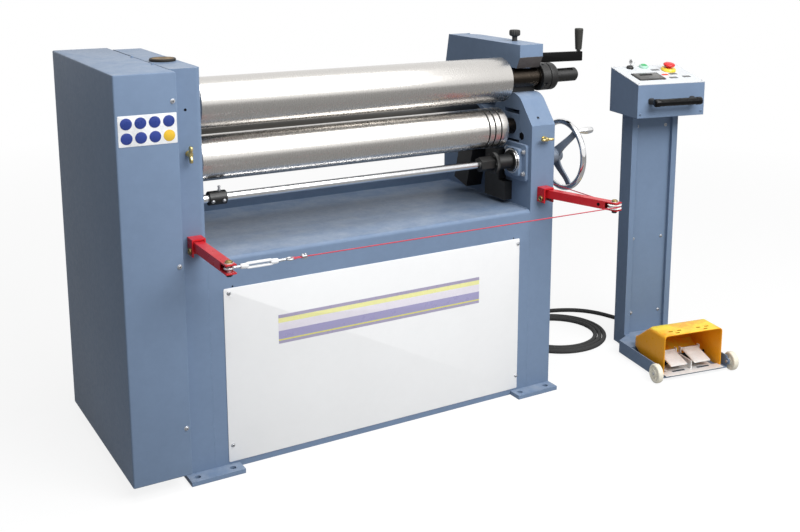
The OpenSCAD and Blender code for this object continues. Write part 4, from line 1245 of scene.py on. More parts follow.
# ------------------------------------------------------------------ frames and base
@dataclass
class Frames:
    """Side frames, foot plates, base, panels and what is screwed to them."""

    front: float = -0.265
    rear: float = 0.265
    cover_front: float = -0.324
    top: float = 1.148
    deck: float = 0.622
    panel: tuple[float, float, float] = (0.998, 0.514, 0.019)
    cover_screws: tuple[float, ...] = (1.074, 0.635, 0.181)
    cap_at: tuple[float, float] = (-0.582, -0.08)
    cap_r: float = 0.036

    def base(self) -> None:
        """The painted base keeps its CAD shape; panels get rounded edges and screws."""
        dress_node(PAINT, "base_cabinet", "foot_plates", "drive_frame", "open_frame")
        width, height, low = self.panel
        mid = low + height / 2
        front = Piece("white_panel", "machine", Slot.WHITE, "front_panel")
        front.add(plate(width, height, 0.002, 0.004, 0.0006), WHITE_PAINT, facing((0, self.front, mid), FRONT))
        for x, z in ((-0.484, 0.519), (-0.486, 0.069), (0.493, 0.516), (0.495, 0.063)):
            screw(front, facing((x, self.front - 0.002, z), FRONT), 0.0042)
        front.build()
        rear = Piece("back_panel", "machine", Slot.PAINT, "rear_panel")
        rear.add(plate(width, height, 0.002, 0.004, 0.0006), PAINT, facing((0, self.rear, mid), REAR, LEFT))
        for x in (-0.48, 0.0, 0.48):
            for z in (0.045, 0.505):
                screw(rear, facing((x, self.rear + 0.002, z), REAR), 0.0042)
        louvre = slab(rectangle(0.15, 0.01, 0.0049, 5), rim(0.005, 0.004))
        for x in (-0.27, 0.27):
            for k in range(9):
                rear.add(louvre, PAINT, facing((x, self.rear + 0.0015, 0.2 + 0.022 * k), REAR, LEFT))
        rear.build()
        stripe = Piece("panel_stripe", "machine", Slot.WHITE)
        stripe.add(plate(0.684, 0.086, 0.0004, 0.001, 0.0001), STRIPES,
                   facing((0.002, self.front - 0.0019, 0.386), FRONT))
        stripe.build()

    def details(self) -> None:
        """Small holes, the deck's weld lines, and the round cap on the frame."""
        piece = Piece("frame_details", "machine", Slot.PAINT)
        hole(piece, facing((-0.585, self.front, 1.039), FRONT), 0.0038)
        hole(piece, facing((0.576, -0.2475, 0.919), (0, -0.64, 0.77)), 0.0042)
        # Inside a painted hexagon, a dark one of painted shade for a hexagonal hole
        for across, thick, edge, finish in ((0.026, 0.0008, 0.0003, PAINT), (0.0235, 0.0012, 0.0001, PAINTED_SHADE_AND_PRINT_DARK)):
            piece.add(slab(hexagon(across), rim(thick, edge)), finish, facing((0.5401, -0.2105, 0.856), LEFT))
        for x, z in ((-0.472, 0.537), (0.476, 0.536)):
            hole(piece, facing((x, self.front, z), FRONT), 0.0025)
        for x in (-0.5385, 0.5385):
            weld = rows(x, np.linspace(-0.25, 0.25, 60), self.deck)
            piece.add(tube(weld, 0.0028 + 0.0006 * np.sin(np.arange(60) * 1.9), 8), PAINT)
        piece.build()
        cap = Piece("round_cap", "machine", Slot.BLACK, "frame_cap")
        r, where = self.cap_r, moved(*self.cap_at, self.top)
        cap.turn([(0, r - 0.002), (0.002, r), (0.006, r), (0.008, r - 0.002), (0.008, r - 0.005),
                  (0.007, r - 0.006)], 72, CAP_PLASTIC, where)
        cap.turn([(0.0065, r - 0.006), (0.0076, r - 0.0065), (0.0076, 0.011), (0.006, 0.009)], 60, CAP_FELT, where)
        cap.build()

    def cover(self) -> None:
        """The gear cover: folded sheet with rounded edges, screws, and a plain symbol plate."""
        piece = Piece("gear_housing", "machine", Slot.PAINT, "gear_cover")
        x0, x1, y1, z0 = -0.785, -0.6245, 0.324, 0.043
        outline = rounded([(x0, -y1), (x1, -y1), (x1, y1), (x0, y1)], (0.005, 0.003, 0.003, 0.005), 5)
        piece.add(slab(outline, rim(self.top - z0, 0.003, foot=True)), PAINT, moved(0, 0, z0))
        for z in self.cover_screws:
            screw(piece, facing((-0.636, self.cover_front, z), FRONT))
            screw(piece, facing((-0.636, y1, z), REAR))
        for y in (0.037, -0.154):
            screw(piece, facing((-0.632, y, self.top)), 0.0036, PAINT)
        piece.add(block((-0.6246, 0.05, self.top - 0.002), (-0.6236, 0.262, self.top + 0.0003), 0.0003), SEAM_AND_SLOT_SHADE)
        piece.build()
        sign = Piece("symbol_plate", "machine", Slot.WHITE)
        centre = (-0.7025, self.cover_front, 1.0055)
        sign.add(plate(0.15, 0.079, 0.0006, 0.002, 0.0002), WHITE_FILM, facing(centre, FRONT))
        for k in range(8):
            x, z = centre[0] + 0.0362 * (k % 4 - 1.5), centre[2] + 0.0375 * (0.5 - k // 4)
            sign.turn([(0, 0.015), (0.0009, 0.015), (0.0011, 0.0146)], 36, AMBER_FILM if k == 7 else BLUE_FILM,
                      facing((x, self.cover_front, z), FRONT))
        sign.build()

    def build(self) -> None:
        """Base, details and cover."""
        self.base()
        self.details()
        self.cover()


# ------------------------------------------------------------------ adjusting shaft
@dataclass
class Adjuster:
    """The cross shaft with its sleeves and bearing, and the handwheel."""

    y: float = -0.19
    z: float = 0.774
    shaft_r: float = 0.012
    rim_x: float = 0.723
    rim_mid: float = 0.1115
    rim_r: float = 0.01
    hub_x: float = 0.647
    handle_at: float = math.radians(128)

    def at(self, x: float) -> np.ndarray:
        """The matrix of a turned piece on the shaft's axis."""
        return along_x(x, self.y, self.z)

    def shaft(self) -> None:
        """Polished shaft, left sleeve with its nipple, and the right coupling."""
        piece = Piece("cross_shaft", "handwheel", Slot.BRIGHT, "adjusting_shaft")
        where = self.at(0)
        r = self.shaft_r
        piece.turn([(-0.57, r), (0.7, r), (0.705, r - 0.002)], 40, SHAFT_STEEL, where)
        piece.turn([(-0.507, 0.0185), (-0.5055, 0.02), (-0.4575, 0.02), (-0.456, 0.0185)], 40, BLACKED, where)
        nipple = lathe([(0, 0.0042), (0.004, 0.0042), (0.004, 0.003), (0.009, 0.003), (0.01, 0.0042),
                        (0.013, 0.0038), (0.014, 0.002)], 16)
        piece.add(nipple, ZINC, facing((-0.474, self.y, self.z + 0.0195)))
        for x in (-0.498, -0.466):
            screw(piece, facing((x, self.y - 0.0193, self.z - 0.006), (0, -1, -0.3)), 0.0035)
        piece.add(slab(hexagon(0.042), rim(0.051, 0.0015, foot=True)), BLACKED, self.at(0.387))
        a = around(288)
        teeth = 0.0346 + 0.0005 * np.cos(72 * a)
        knurled = slab(np.stack([teeth * np.cos(a), teeth * np.sin(a)], 1), rim(0.012, 0.0012, foot=True))
        piece.add(knurled, BLACKED, self.at(0.438))
        piece.turn([(0.45, 0.024), (0.506, 0.024), (0.506, 0.033), (0.5075, 0.035), (0.513, 0.035),
                    (0.515, 0.0335)], 72, BLACKED, where)
        piece.add(torus(0.0348, 0.0012, 72, 10), CHROME, self.at(0.5105))
        for k in range(6):
            spin = turned(k * math.pi / 3, "Z")
            screw(piece, self.at(0.4385) @ spin @ facing((0.028, 0, 0), DOWN), 0.0028, BLACKED)
        piece.build()

    def bearing(self) -> None:
        """The square bearing flange with its raised block and bolts, and the round one."""
        piece = Piece("bearing_pair", "machine", Slot.PAINT, "shaft_bearings")
        centre = facing((0.5397, self.y, self.z - 0.002), LEFT, REAR)
        piece.add(plate(0.12, 0.12, 0.01, 0.01, 0.002), PAINT, centre)
        piece.add(plate(0.076, 0.09, 0.024, 0.008, 0.0025), PAINT, centre)
        for dy in (-0.047, 0.047):
            for dz in (-0.036, 0.036):
                bolt(piece, centre @ moved(dy, dz, 0.01), 0.011, 0.006)
        piece.turn([(0.0235, 0.0425), (0.0262, 0.042), (0.0268, 0.0405), (0.0268, 0.0365), (0.0258, 0.036)], 72,
                   SHAFT_STEEL, facing((0.54, self.y, self.z), LEFT, REAR))
        piece.turn([(0, 0.035), (0.0075, 0.035), (0.009, 0.0335)], 48, BLACKED, self.at(-0.54))
        piece.build()

    def wheel(self) -> None:
        """Handwheel: polished rim, three flat spokes dished to the hub."""
        piece = Piece("wheel_of_shaft", "handwheel", Slot.CHROME, "handwheel")
        piece.add(torus(self.rim_mid, self.rim_r, 128, 24), CHROME, self.at(self.rim_x))
        hub = [(0, 0.024), (0.002, 0.026), (0.038, 0.026), (0.05, 0.024), (0.062, 0.0205), (0.064, 0.019)]
        piece.turn(hub, 48, CAST_SPOKE, self.at(self.hub_x))
        piece.turn([(0.0638, 0.0125), (0.0645, 0.0115)], 32, BLACKED, self.at(self.hub_x))
        t = np.linspace(0, 1, 14)[:, None]
        bend = t * t * (3 - 2 * t)
        reach = 0.018 + (self.rim_mid - 0.022) * t
        lift = 0.693 + (self.rim_x - 0.693) * bend
        half = 0.015 - 0.0055 * t + 0.005 * (1 - t) ** 6 + 0.004 * t**10
        section = rectangle(2.0, 2.0, 0.45, 3)
        thick = 0.0042
        spoke = ring_solid(rows(lift + thick * section[:, 0], reach, half * section[:, 1]))
        for k in range(3):
            spin = turned(self.handle_at + k * 2 * math.pi / 3, "X")
            piece.add(spoke, CAST_SPOKE, moved(0, self.y, self.z) @ spin)
        piece.build()

    def handle(self) -> None:
        """The turning handle: a polished pear on a neck."""
        a = np.linspace(0, 1, 26)
        pear = 0.006 + 0.0068 * np.sin(math.pi * (0.08 + 0.8 * a)) ** 1.2 * (0.55 + 0.55 * a)
        pear = np.where(a > 0.93, pear * np.sqrt(np.clip(1 - ((a - 0.93) / 0.075) ** 2, 0.02, 1)), pear)
        profile = [(-0.008, 0.0038), (0.01, 0.0038), (0.0102, 0.0075), (0.0125, 0.0075)]
        profile += list(zip((0.013 + 0.056 * a).tolist(), pear.tolist()))
        piece = Piece("turning_handle", "wheel_handle", Slot.CHROME, "wheel_handle")
        spin = turned(self.handle_at, "X")
        piece.turn(profile, 36, CHROME, moved(self.rim_x, self.y, self.z) @ spin @ along_x(0, self.rim_mid, 0))
        piece.build(60)

    def build(self) -> None:
        """Shaft, bearings, wheel and handle."""
        self.shaft()
        self.bearing()
        self.wheel()
        self.handle()


# ------------------------------------------------------------------ locking arm
@dataclass
class LockingArm:
    """The hinged arm over the top roll, with its knob, crank and grip."""

    screw_at: tuple[float, float] = (0.66, -0.076)
    crank_z: float = 1.072
    swing: float = math.radians(-8)
    reach: float = 0.19
    arm_x: float = 0.5855
    jaw_top: tuple[float, float] = (-0.191, 1.108)
    jaw_foot: tuple[float, float] = (-0.172, 1.071)
    jaw_w: float = 0.09
    knob_at: Point = (0.6037, -0.07, 1.148)
    wing_y: float = -0.265

    def arm(self) -> None:
        """The arm keeps its CAD shape; its jaw is lined with bare iron."""
        dress_node(PAINT, "locking_arm")
        piece = Piece("jaw_lining", "locking_arm", Slot.DARK)
        (y0, z0), (y1, z1) = self.jaw_top, self.jaw_foot
        lip = plate(self.jaw_w, math.hypot(y1 - y0, z1 - z0) - 0.001, 0.0008, 0.001, 0.0003)
        piece.add(lip, DULL_IRON, facing((self.arm_x, (y0 + y1) / 2, (z0 + z1) / 2), (0, z1 - z0, y0 - y1)))
        piece.add(plate(self.jaw_w, 0.07, 0.0006, 0.001, 0.0002), DULL_IRON, facing((self.arm_x, -0.136, z1), DOWN))
        piece.build()

    def knob(self) -> None:
        """A scalloped disc knob on a stem."""
        piece = Piece("clamp_knob", "locking_arm", Slot.BLACK, "arm_knob")
        stem = lathe([(-0.01, 0.006), (0.0003, 0.006), (0.0004, 0.009), (0.013, 0.0085), (0.016, 0.0105),
                      (0.02, 0.012)], 28)
        a = around(96)
        zr = np.array([(0.017, 0.014), (0.0185, 0.0168), (0.022, 0.0186), (0.0325, 0.0186), (0.0358, 0.0172),
                       (0.0368, 0.015), (0.0358, 0.0118), (0.035, 0.004)])
        r = zr[:, 1:] + (zr[:, 1:] > 0.0165) * 0.0008 * (np.cos(a * 16) - 1)
        for solid in (stem, ring_solid(rows(r * np.cos(a), r * np.sin(a), zr[:, :1]))):
            piece.add(solid, BLACK_PLASTIC, moved(*self.knob_at))
        piece.build()

    def crank(self) -> None:
        """Flat tapered bar on the clamp screw, with the turning grip."""
        x, y = self.screw_at
        turn = moved(x, y, self.crank_z) @ turned(self.swing, "Z")
        piece = Piece("clamp_crank", "crank", Slot.BLACK_METAL, "crank")
        piece.rod(-0.04, 0.001, 0.01, 32, JOURNAL_STEEL_PAINTED_DARK, turn)
        piece.turn([(0, 0.0165), (0.0015, 0.018), (0.0315, 0.018), (0.033, 0.0165), (0.033, 0.009), (0.031, 0.008)],
                   48, BLACK_BAR, turn)
        side = rounded([(0, 0.0), (0.204, 0.0005), (0.204, 0.033), (0, 0.033)], (0.002, 0.003, 0.003, 0.002))
        piece.add(slab(side, rim(0.01, 0.0012, foot=True)), BLACK_BAR, turn @ facing((0, 0.005, 0), FRONT))
        piece.build()
        grip = Piece("crank_handgrip", "crank_grip", Slot.BLACK, "crank_grip")
        a = np.linspace(0, 1, 30)
        swell = 0.0108 + 0.0042 * a**0.8 + 0.0004 * np.cos(a * 2 * math.pi * 11)
        swell = np.where(a > 0.95, swell - 0.0022 * ((a - 0.95) / 0.05) ** 2, swell)
        profile = [(-0.018, 0.00345), (0.0008, 0.00345), (0.001, 0.007), (0.0055, 0.007), (0.006, 0.0095)]
        profile += list(zip((0.0065 + 0.0715 * a).tolist(), swell.tolist())) + [(0.078, 0.006), (0.0772, 0.005)]
        grip.turn(profile, 40, GRIP_PLASTIC, turn @ moved(self.reach, 0, 0.033))
        grip.build(50)

    def wing_screws(self) -> None:
        """Two brass wing screws on the frames' fronts."""
        piece = Piece("wing_screw_pair", "machine", Slot.BRASS, "wing_screws")
        stem = lathe([(0, 0.0075), (0.002, 0.0075), (0.0022, 0.0048), (0.012, 0.0048), (0.0125, 0.0078),
                      (0.022, 0.007), (0.026, 0.0045)], 28)
        wing = slab(rounded([(-0.0235, 0.019), (-0.0215, 0.03), (-0.012, 0.0305), (0, 0.0235), (0.012, 0.0305),
                             (0.0215, 0.03), (0.0235, 0.019), (0.006, 0.012), (-0.006, 0.012)],
                            (0.002, 0.004, 0.004, 0.006, 0.004, 0.004, 0.002, 0.003, 0.003), 5)[::-1],
                    rim(0.0085, 0.0034, foot=True))
        for x, z, across in ((-0.582, 0.922, (0, 0, 1)), (self.arm_x, 0.853, RIGHT)):
            where = facing((x, self.wing_y, z), FRONT, across)
            piece.add(stem, BRASS, where)
            piece.add(wing, BRASS, where @ facing((0, 0.00425, 0), FRONT))
        piece.build()

    def build(self) -> None:
        """Arm, knob, crank and screws."""
        self.arm()
        self.knob()
        self.crank()
        self.wing_screws()


# ------------------------------------------------------------------ trip rope
@dataclass
class TripRope:
    """The red arms, turnbuckle, sheathed rope, pulley and limit switch."""

    left_tip: Point = (-0.575, -0.523, 0.676)
    pivot: tuple[float, float] = (0.5855, -0.265)
    reach: float = 0.275
    swing: float = math.radians(17.5)
    groove: float = 0.018
    rope_r: float = 0.0017
    pitch: float = 0.022
    eye_at: float = 0.162
    clamp_at: float = 0.202
    switch_y: float = 0.15
    line: np.ndarray = field(init=False)
    right_tip: np.ndarray = field(init=False)
    slant: float = field(init=False)
    straight: float = field(init=False)

    def __post_init__(self) -> None:
        """Works out the rope's line: it leaves the left tip and touches the pulley's groove."""
        self.right_tip = np.array([self.pivot[0] + self.reach * math.sin(self.swing),
                                   self.pivot[1] - self.reach * math.cos(self.swing), self.left_tip[2]])
        span = self.right_tip - np.array(self.left_tip)
        size = float(np.linalg.norm(span))
        self.slant = math.atan2(span[1], span[0]) - math.asin(self.groove / size)
        self.straight = math.sqrt(size**2 - self.groove**2)
        self.line = moved(*self.left_tip) @ turned(self.slant, "Z")

    def arms(self) -> None:
        """The arms keep their CAD shape; their bolts are added."""
        dress_node(RED_PAINT, "trip_arms")
        piece = Piece("arm_fixings", "machine", Slot.BRASS, "arm_bolts")
        for tip in (self.left_tip, tuple(self.right_tip)):
            where = moved(*tip)
            piece.rod(-0.019, 0.015, 0.005, 24, ZINC, where)
            piece.add(washer(0.0115, 0.0015), ZINC, where @ moved(0, 0, 0.013))
            piece.add(cup_head(0.0098, 0.006), DULL_BRASS, where @ moved(0, 0, 0.0142))
            piece.add(washer(0.0105, 0.0015), BLACKED, where @ facing((0, 0, -0.013), DOWN))
            piece.add(hex_head(0.015, 0.007), BLACKED, where @ facing((0, 0, -0.0143), DOWN))
        ring = lathe([(0, 0.0095), (0.003, 0.0095), (0.0045, 0.0085), (0.0045, 0.0055), (0.003, 0.005)], 28)
        sides = [facing((x, -0.286, 0.661), LEFT) for x in (-0.594, 0.5665)]
        piece.add(ring, DULL_BRASS, *sides)
        piece.add(hex_head(0.0088, 0.0034), BLACKED, *sides)
        for x in (0.5745, 0.5965):
            piece.add(hex_head(0.013, 0.01), BLACKED, facing((x, -0.292, 0.6635), DOWN))
        arm = moved(*self.pivot, self.left_tip[2]) @ turned(self.swing, "Z")
        # A dark disc on the arm: painted shade for a hole
        piece.turn([(-0.001, 0.0055), (0.0004, 0.0052)], 24, PAINTED_SHADE_AND_PRINT_DARK, arm @ facing((-0.014, -0.225, 0.0), LEFT))
        piece.build()

    def tensioner(self) -> None:
        """Turnbuckle: an oblong frame between two bosses, its rods, and an eye."""
        piece = Piece("rope_tensioner", "machine", Slot.ZINC, "turnbuckle")
        piece.add(torus(0.0095, 0.0036, 40, 12), ZINC, self.line)
        piece.rod(0.012, 0.034, 0.0034, 20, ZINC, self.line @ along_x(0, 0, 0), self.line @ along_x(0.116, 0, 0))
        boss = lathe([(0, 0.0058), (0.002, 0.0068), (0.013, 0.0072), (0.02, 0.0066)], 28)
        ends = (along_x(0.03, 0, 0), facing((0.13, 0, 0), LEFT, REAR))
        piece.add(boss, WHITE_METAL, *[self.line @ end for end in ends])
        corner = rounded([(0.045, -0.0055), (0.115, -0.0055), (0.115, 0.0055), (0.045, 0.0055)], 0.005, 8)
        step_on = unit(np.roll(corner, -1, 0) - np.roll(corner, 1, 0))
        out = np.stack([step_on[:, 1], -step_on[:, 0]], 1)
        section = rectangle(0.0052, 0.012, 0.0018, 3)
        side = corner[:, None] + section[None, :, :1] * out[:, None]
        oblong = ring_solid(rows(side[..., 0], side[..., 1], section[:, 1]), loop=True)
        piece.add(oblong, WHITE_METAL, self.line @ turned(math.pi / 2, "X"))
        piece.add(torus(0.0088, 0.0026, 36, 10), ZINC, self.line @ moved(self.eye_at, 0, 0))
        piece.build(40)

    def rope(self) -> None:
        """The rope: two turns of strands, as a ripple that winds along it."""
        piece = Piece("sheathed_rope", "machine", Slot.ROPE, "trip_rope")
        start, tip = self.clamp_at, self.right_tip
        straight = carried(rows(np.linspace(start, self.straight, 460), 0, 0), self.line)
        a = np.linspace(self.slant - math.pi / 2, 0.0, 28)[1:]
        bend = rows(tip[0] + self.groove * np.cos(a), tip[1] + self.groove * np.sin(a), tip[2])
        back = rows(tip[0] + self.groove, np.linspace(tip[1], self.switch_y, 260)[1:], tip[2])
        piece.add(self.strands(np.concatenate([straight, bend, back])), ROPE_SKIN)
        k = np.linspace(0, 1, 24)
        bow = 0.0034 * np.sin(math.pi * (0.12 + 0.76 * k)) / 0.9
        for side in (-bow, bow):
            loop = rows(start - 0.031 + 0.033 * k, side, 0)
            piece.add(self.strands(carried(loop, self.line)), ROPE_SKIN)
        piece.add(torus(0.0052, 0.0022, 28, 10), ROPE_SKIN, self.line @ moved(start - 0.028, 0, 0))
        clamp = self.line @ moved(start, 0, 0)
        piece.add(plate(0.016, 0.013, 0.0035, 0.003, 0.001), ZINC, clamp @ moved(0, 0, 0.0008),
                  clamp @ facing((0, 0, -0.0008), DOWN))
        piece.add(hex_head(0.006, 0.0035), ZINC, clamp @ moved(-0.004, 0, 0.0042), clamp @ moved(0.004, 0, 0.0042))
        piece.build(60)

    def strands(self, path: np.ndarray) -> Solid:
        """A tube whose radius is r (0.95 + 0.09 cos(3 (angle - 2 pi s / pitch))).

        Args:
            path: Points of the rope's centre line.

        Returns:
            The closed surface.
        """
        twist = around(10) - 2 * math.pi * travel(path)[:, None] / self.pitch
        return tube(path, self.rope_r * (0.95 + 0.09 * np.cos(3 * twist)), 10)

    def pulley_and_switch(self) -> None:
        """The grooved pulley and the box of the limit switch."""
        piece = Piece("grooved_pulley", "rope_pulley", Slot.WHITE_PLASTIC, "rope_pulley")
        profile = [(-0.007, 0.0205), (-0.006, 0.022), (-0.0045, 0.022), (-0.003, 0.0195), (-0.0018, 0.0163),
                   (0, 0.0158), (0.0018, 0.0163), (0.003, 0.0195), (0.0045, 0.022), (0.0058, 0.022), (0.0066, 0.0205)]
        piece.turn(profile, 64, WHITE_PLASTIC, moved(*self.right_tip))
        piece.build()
        box = Piece("limit_switch", "machine", Slot.DARK, "trip_switch")
        rope_x = float(self.right_tip[0]) + self.groove
        x1 = rope_x + 0.02
        y0, y1, z = self.switch_y, self.switch_y + 0.08, self.left_tip[2]
        box.add(block((0.6312, y0, z - 0.045), (x1 - 0.008, y1, z + 0.045), 0.004), DULL_IRON)
        box.add(block((x1 - 0.012, y0 + 0.004, z - 0.041), (x1, y1 - 0.004, z + 0.041), 0.003), GREY_FILM)
        for dy in (0.012, 0.068):
            for dz in (-0.033, 0.033):
                screw(box, facing((x1, y0 + dy, z + dz), RIGHT), 0.0028)
        box.turn([(0, 0.01), (0.01, 0.0095), (0.014, 0.006)], 24, ZINC, facing((rope_x, y0, z), FRONT))
        box.build()

    def build(self) -> None:
        """Arms, tensioner, rope, pulley and switch."""
        self.arms()
        self.tensioner()
        self.rope()
        self.pulley_and_switch()


# ------------------------------------------------------------------ console
CONSOLE = moved(1.161, -0.163, 0.0) @ turned(math.radians(-9.6), "Z")


def at_console(u: float, w: float, z: float, axis: Point = (0, 0, 1), across: Point = RIGHT) -> np.ndarray:
    """A place on the console: u across, w to the rear, z up."""
    return CONSOLE @ facing((u, w, z), axis, across)


def on_panel(u: float, t: float, lift: float = 0.002) -> np.ndarray:
    """A place on the console's sloping top: u across, t up the slope."""
    slope = math.atan2(0.04, 0.184)
    return CONSOLE @ moved(0, -0.092, 0.991) @ turned(slope, "X") @ moved(u, t, lift)


@dataclass
class Console:
    """The wheeled console: tray, column, head, controls and pedals."""

    head_front: float = -0.092
    guard_w: float = 0.236
    guard_h: float = 0.156
    guard_t: float = 0.0026
    pedal: tuple[float, float] = (0.068, 0.086)
    hinge: tuple[float, float] = (-0.205, 0.06)
    wheel_at: tuple[float, float, float] = (0.154, -0.309, 0.033)
    wheel_r: float = 0.033
    bar: tuple[float, float, float] = (0.042, 0.934, 0.014)
    bar_half: float = 0.095
    stop_at: tuple[float, float] = (0.066, 0.13)
    start_at: tuple[float, float] = (-0.012, 0.172)
    lock_at: tuple[float, float] = (-0.071, 0.168)
    display_at: tuple[float, float] = (-0.0515, 0.0737)

    def housing(self) -> None:
        """Tray, column and head keep their CAD shape; seams and screws are added."""
        dress_node(PAINT, "console_tray", "console_column", "console_head")
        dress_node(OVERLAY, "head_panel")
        piece = Piece("console_screws", "machine", Slot.ZINC)
        for u, z in ((-0.066, 0.827), (0.052, 0.827), (-0.064, 0.412), (0.054, 0.412), (-0.061, 0.128), (0.056, 0.128)):
            screw(piece, at_console(u, 0.014, z, FRONT), 0.0042)
        for u, z in ((-0.124, 0.89), (0.124, 0.89)):
            screw(piece, at_console(u, self.head_front, z, FRONT), 0.0032, PAINT)
        for u, t in ((-0.128, 0.008), (0.128, 0.008), (-0.128, 0.18), (0.128, 0.18)):
            screw(piece, on_panel(u, t), 0.003)
        for u, z in ((-0.08, 0.2), (0.08, 0.2), (-0.08, 0.8), (0.08, 0.8)):
            screw(piece, at_console(u, 0.071, z, REAR), 0.0036)
        piece.add(block((-0.0946, 0.0705, 0.1795), (0.0946, 0.0714, 0.1805), 0.0003), SEAM_AND_SLOT_SHADE, CONSOLE)
        piece.build()

    def controls(self) -> None:
        """Display, labels, buttons and key switch on the sloping panel."""
        panel = Piece("panel_labels", "machine", Slot.BLACK)
        panel.add(plate(0.107, 0.068, 0.003, 0.003, 0.001), BLACK_PLASTIC, on_panel(*self.display_at))
        panel.add(plate(0.097, 0.058, 0.0008, 0.002, 0.0003), SCREEN, on_panel(*self.display_at, 0.0048))
        panel.add(plate(0.04, 0.008, 0.0004, 0.001, 0.0001), GREY_FILM, on_panel(-0.04, 0.056, 0.0056))
        # A printed dark band on the display, in the same near black as the painted shade
        panel.add(plate(0.052, 0.014, 0.0004, 0.001, 0.0001), PAINTED_SHADE_AND_PRINT_DARK, on_panel(-0.055, 0.086, 0.0056))
        for u, t in ((0.062, 0.0931), (0.041, 0.0553), (0.098, 0.0604), (0.017, 0.1402)):
            panel.add(plate(0.032, 0.015, 0.0005, 0.001, 0.0001), GREY_FILM, on_panel(u, t))
        panel.add(plate(0.026, 0.013, 0.0005, 0.001, 0.0001), RED_PLASTIC, on_panel(0.026, 0.088))
        panel.build()
        stop, start, lock = on_panel(*self.stop_at), on_panel(*self.start_at), on_panel(*self.lock_at)
        Piece("stop_collar", "machine", Slot.YELLOW_PLASTIC, "stop_base").turn(
            [(0, 0.027), (0.0015, 0.0275), (0.006, 0.0262), (0.0095, 0.0235), (0.01, 0.022), (0.01, 0.0125),
             (0.009, 0.0118)], 64, YELLOW_PLASTIC, stop).build()
        Piece("stop_mushroom", "stop_button", Slot.RED_PLASTIC, "stop_button").turn(
            [(0.0045, 0.0108), (0.015, 0.0108), (0.016, 0.015), (0.0175, 0.019), (0.0205, 0.0212),
             (0.0235, 0.0206), (0.0262, 0.0175), (0.0278, 0.011), (0.0282, 0.004)], 64, RED_PLASTIC, stop).build(50)
        Piece("start_cap", "start_button", Slot.GREEN, "start_button").turn(
            [(0.0035, 0.0108), (0.0092, 0.0108), (0.0102, 0.01), (0.0098, 0.0075), (0.009, 0.004)], 48,
            GREEN_PLASTIC, start).build()
        Piece("start_bezel", "machine", Slot.CHROME).turn(
            [(0, 0.017), (0.002, 0.0172), (0.0065, 0.016), (0.0085, 0.0142), (0.0085, 0.012), (0.007, 0.0112),
             (0.0004, 0.0112)], 56, PALE_GREEN, start).build()
        key = Piece("lock_and_key", "key_switch", Slot.BRIGHT, "key_switch")
        key.turn([(0.0003, 0.013), (0.004, 0.013), (0.0065, 0.012), (0.008, 0.01), (0.008, 0.006),
                  (0.0068, 0.005)], 48, BLACKED, lock)
        key.add(slab(rectangle(0.006, 0.016, 0.001), rim(0.0016, 0.0004, foot=True)), CHROME,
                lock @ facing((0.0008, 0, 0.014), LEFT, REAR))
        key.add(slab(rectangle(0.019, 0.016, 0.006, 6), rim(0.0022, 0.0007, foot=True)), CHROME,
                lock @ facing((0.0011, 0, 0.0265), LEFT, REAR))
        key.add(torus(0.011, 0.001, 40, 8), CHROME, lock @ facing((0.0, -0.007, 0.024), (0.8, 0.5, 0.2)))
        key.build()

    def handle(self) -> None:
        """The black bar handle with its ribbed ends and posts."""
        piece = Piece("push_bar", "machine", Slot.BLACK, "bar_handle")
        (away, z, r), half = self.bar, self.bar_half
        end = [(0, r - 0.004), (0.0015, r - 0.0015), (0.004, r), (0.02, r), (0.021, r - 0.0012), (0.022, r - 0.0012)]
        profile = end + [(2 * half - h, q) for h, q in end[::-1]]
        piece.turn(profile, 40, BLACK_GLOSS, CONSOLE @ along_x(-half, self.head_front - away, z))
        levels = [(0, 0.001), (0.001, 0), (0.004, 0), (0.006, 0.0015), (0.03, 0.0015), (0.041, 0.001)]
        post = slab(rectangle(0.022, 0.022, 0.007, 5), levels)
        for u in (0.012 - half, half - 0.012):
            piece.add(post, BLACK_PLASTIC, at_console(u, self.head_front - 0.0005, z, FRONT))
        piece.build()

    def guard(self) -> None:
        """The pedal guard: one sheet bent over the pedals, with slots in its top.

        The sheet is a grid over arc length across the guard and depth. Across, it runs
        up one side, round a bend, over the top and down the other side; towards the
        rear its top falls in a straight slope.
        """
        w, r, low = self.guard_w / 2, 0.013, 0.012
        front, ridge, back, back_z = -0.298, -0.2, -0.114, 0.093
        bend = np.linspace(0, math.pi / 2, 7)
        flat = np.array([-0.083, -0.065, -0.049, -0.047, -0.031, 0.0, 0.031, 0.047, 0.049, 0.065, 0.083])
        wall = 1 - np.linspace(0.0, 1.0, 6)[:-1]
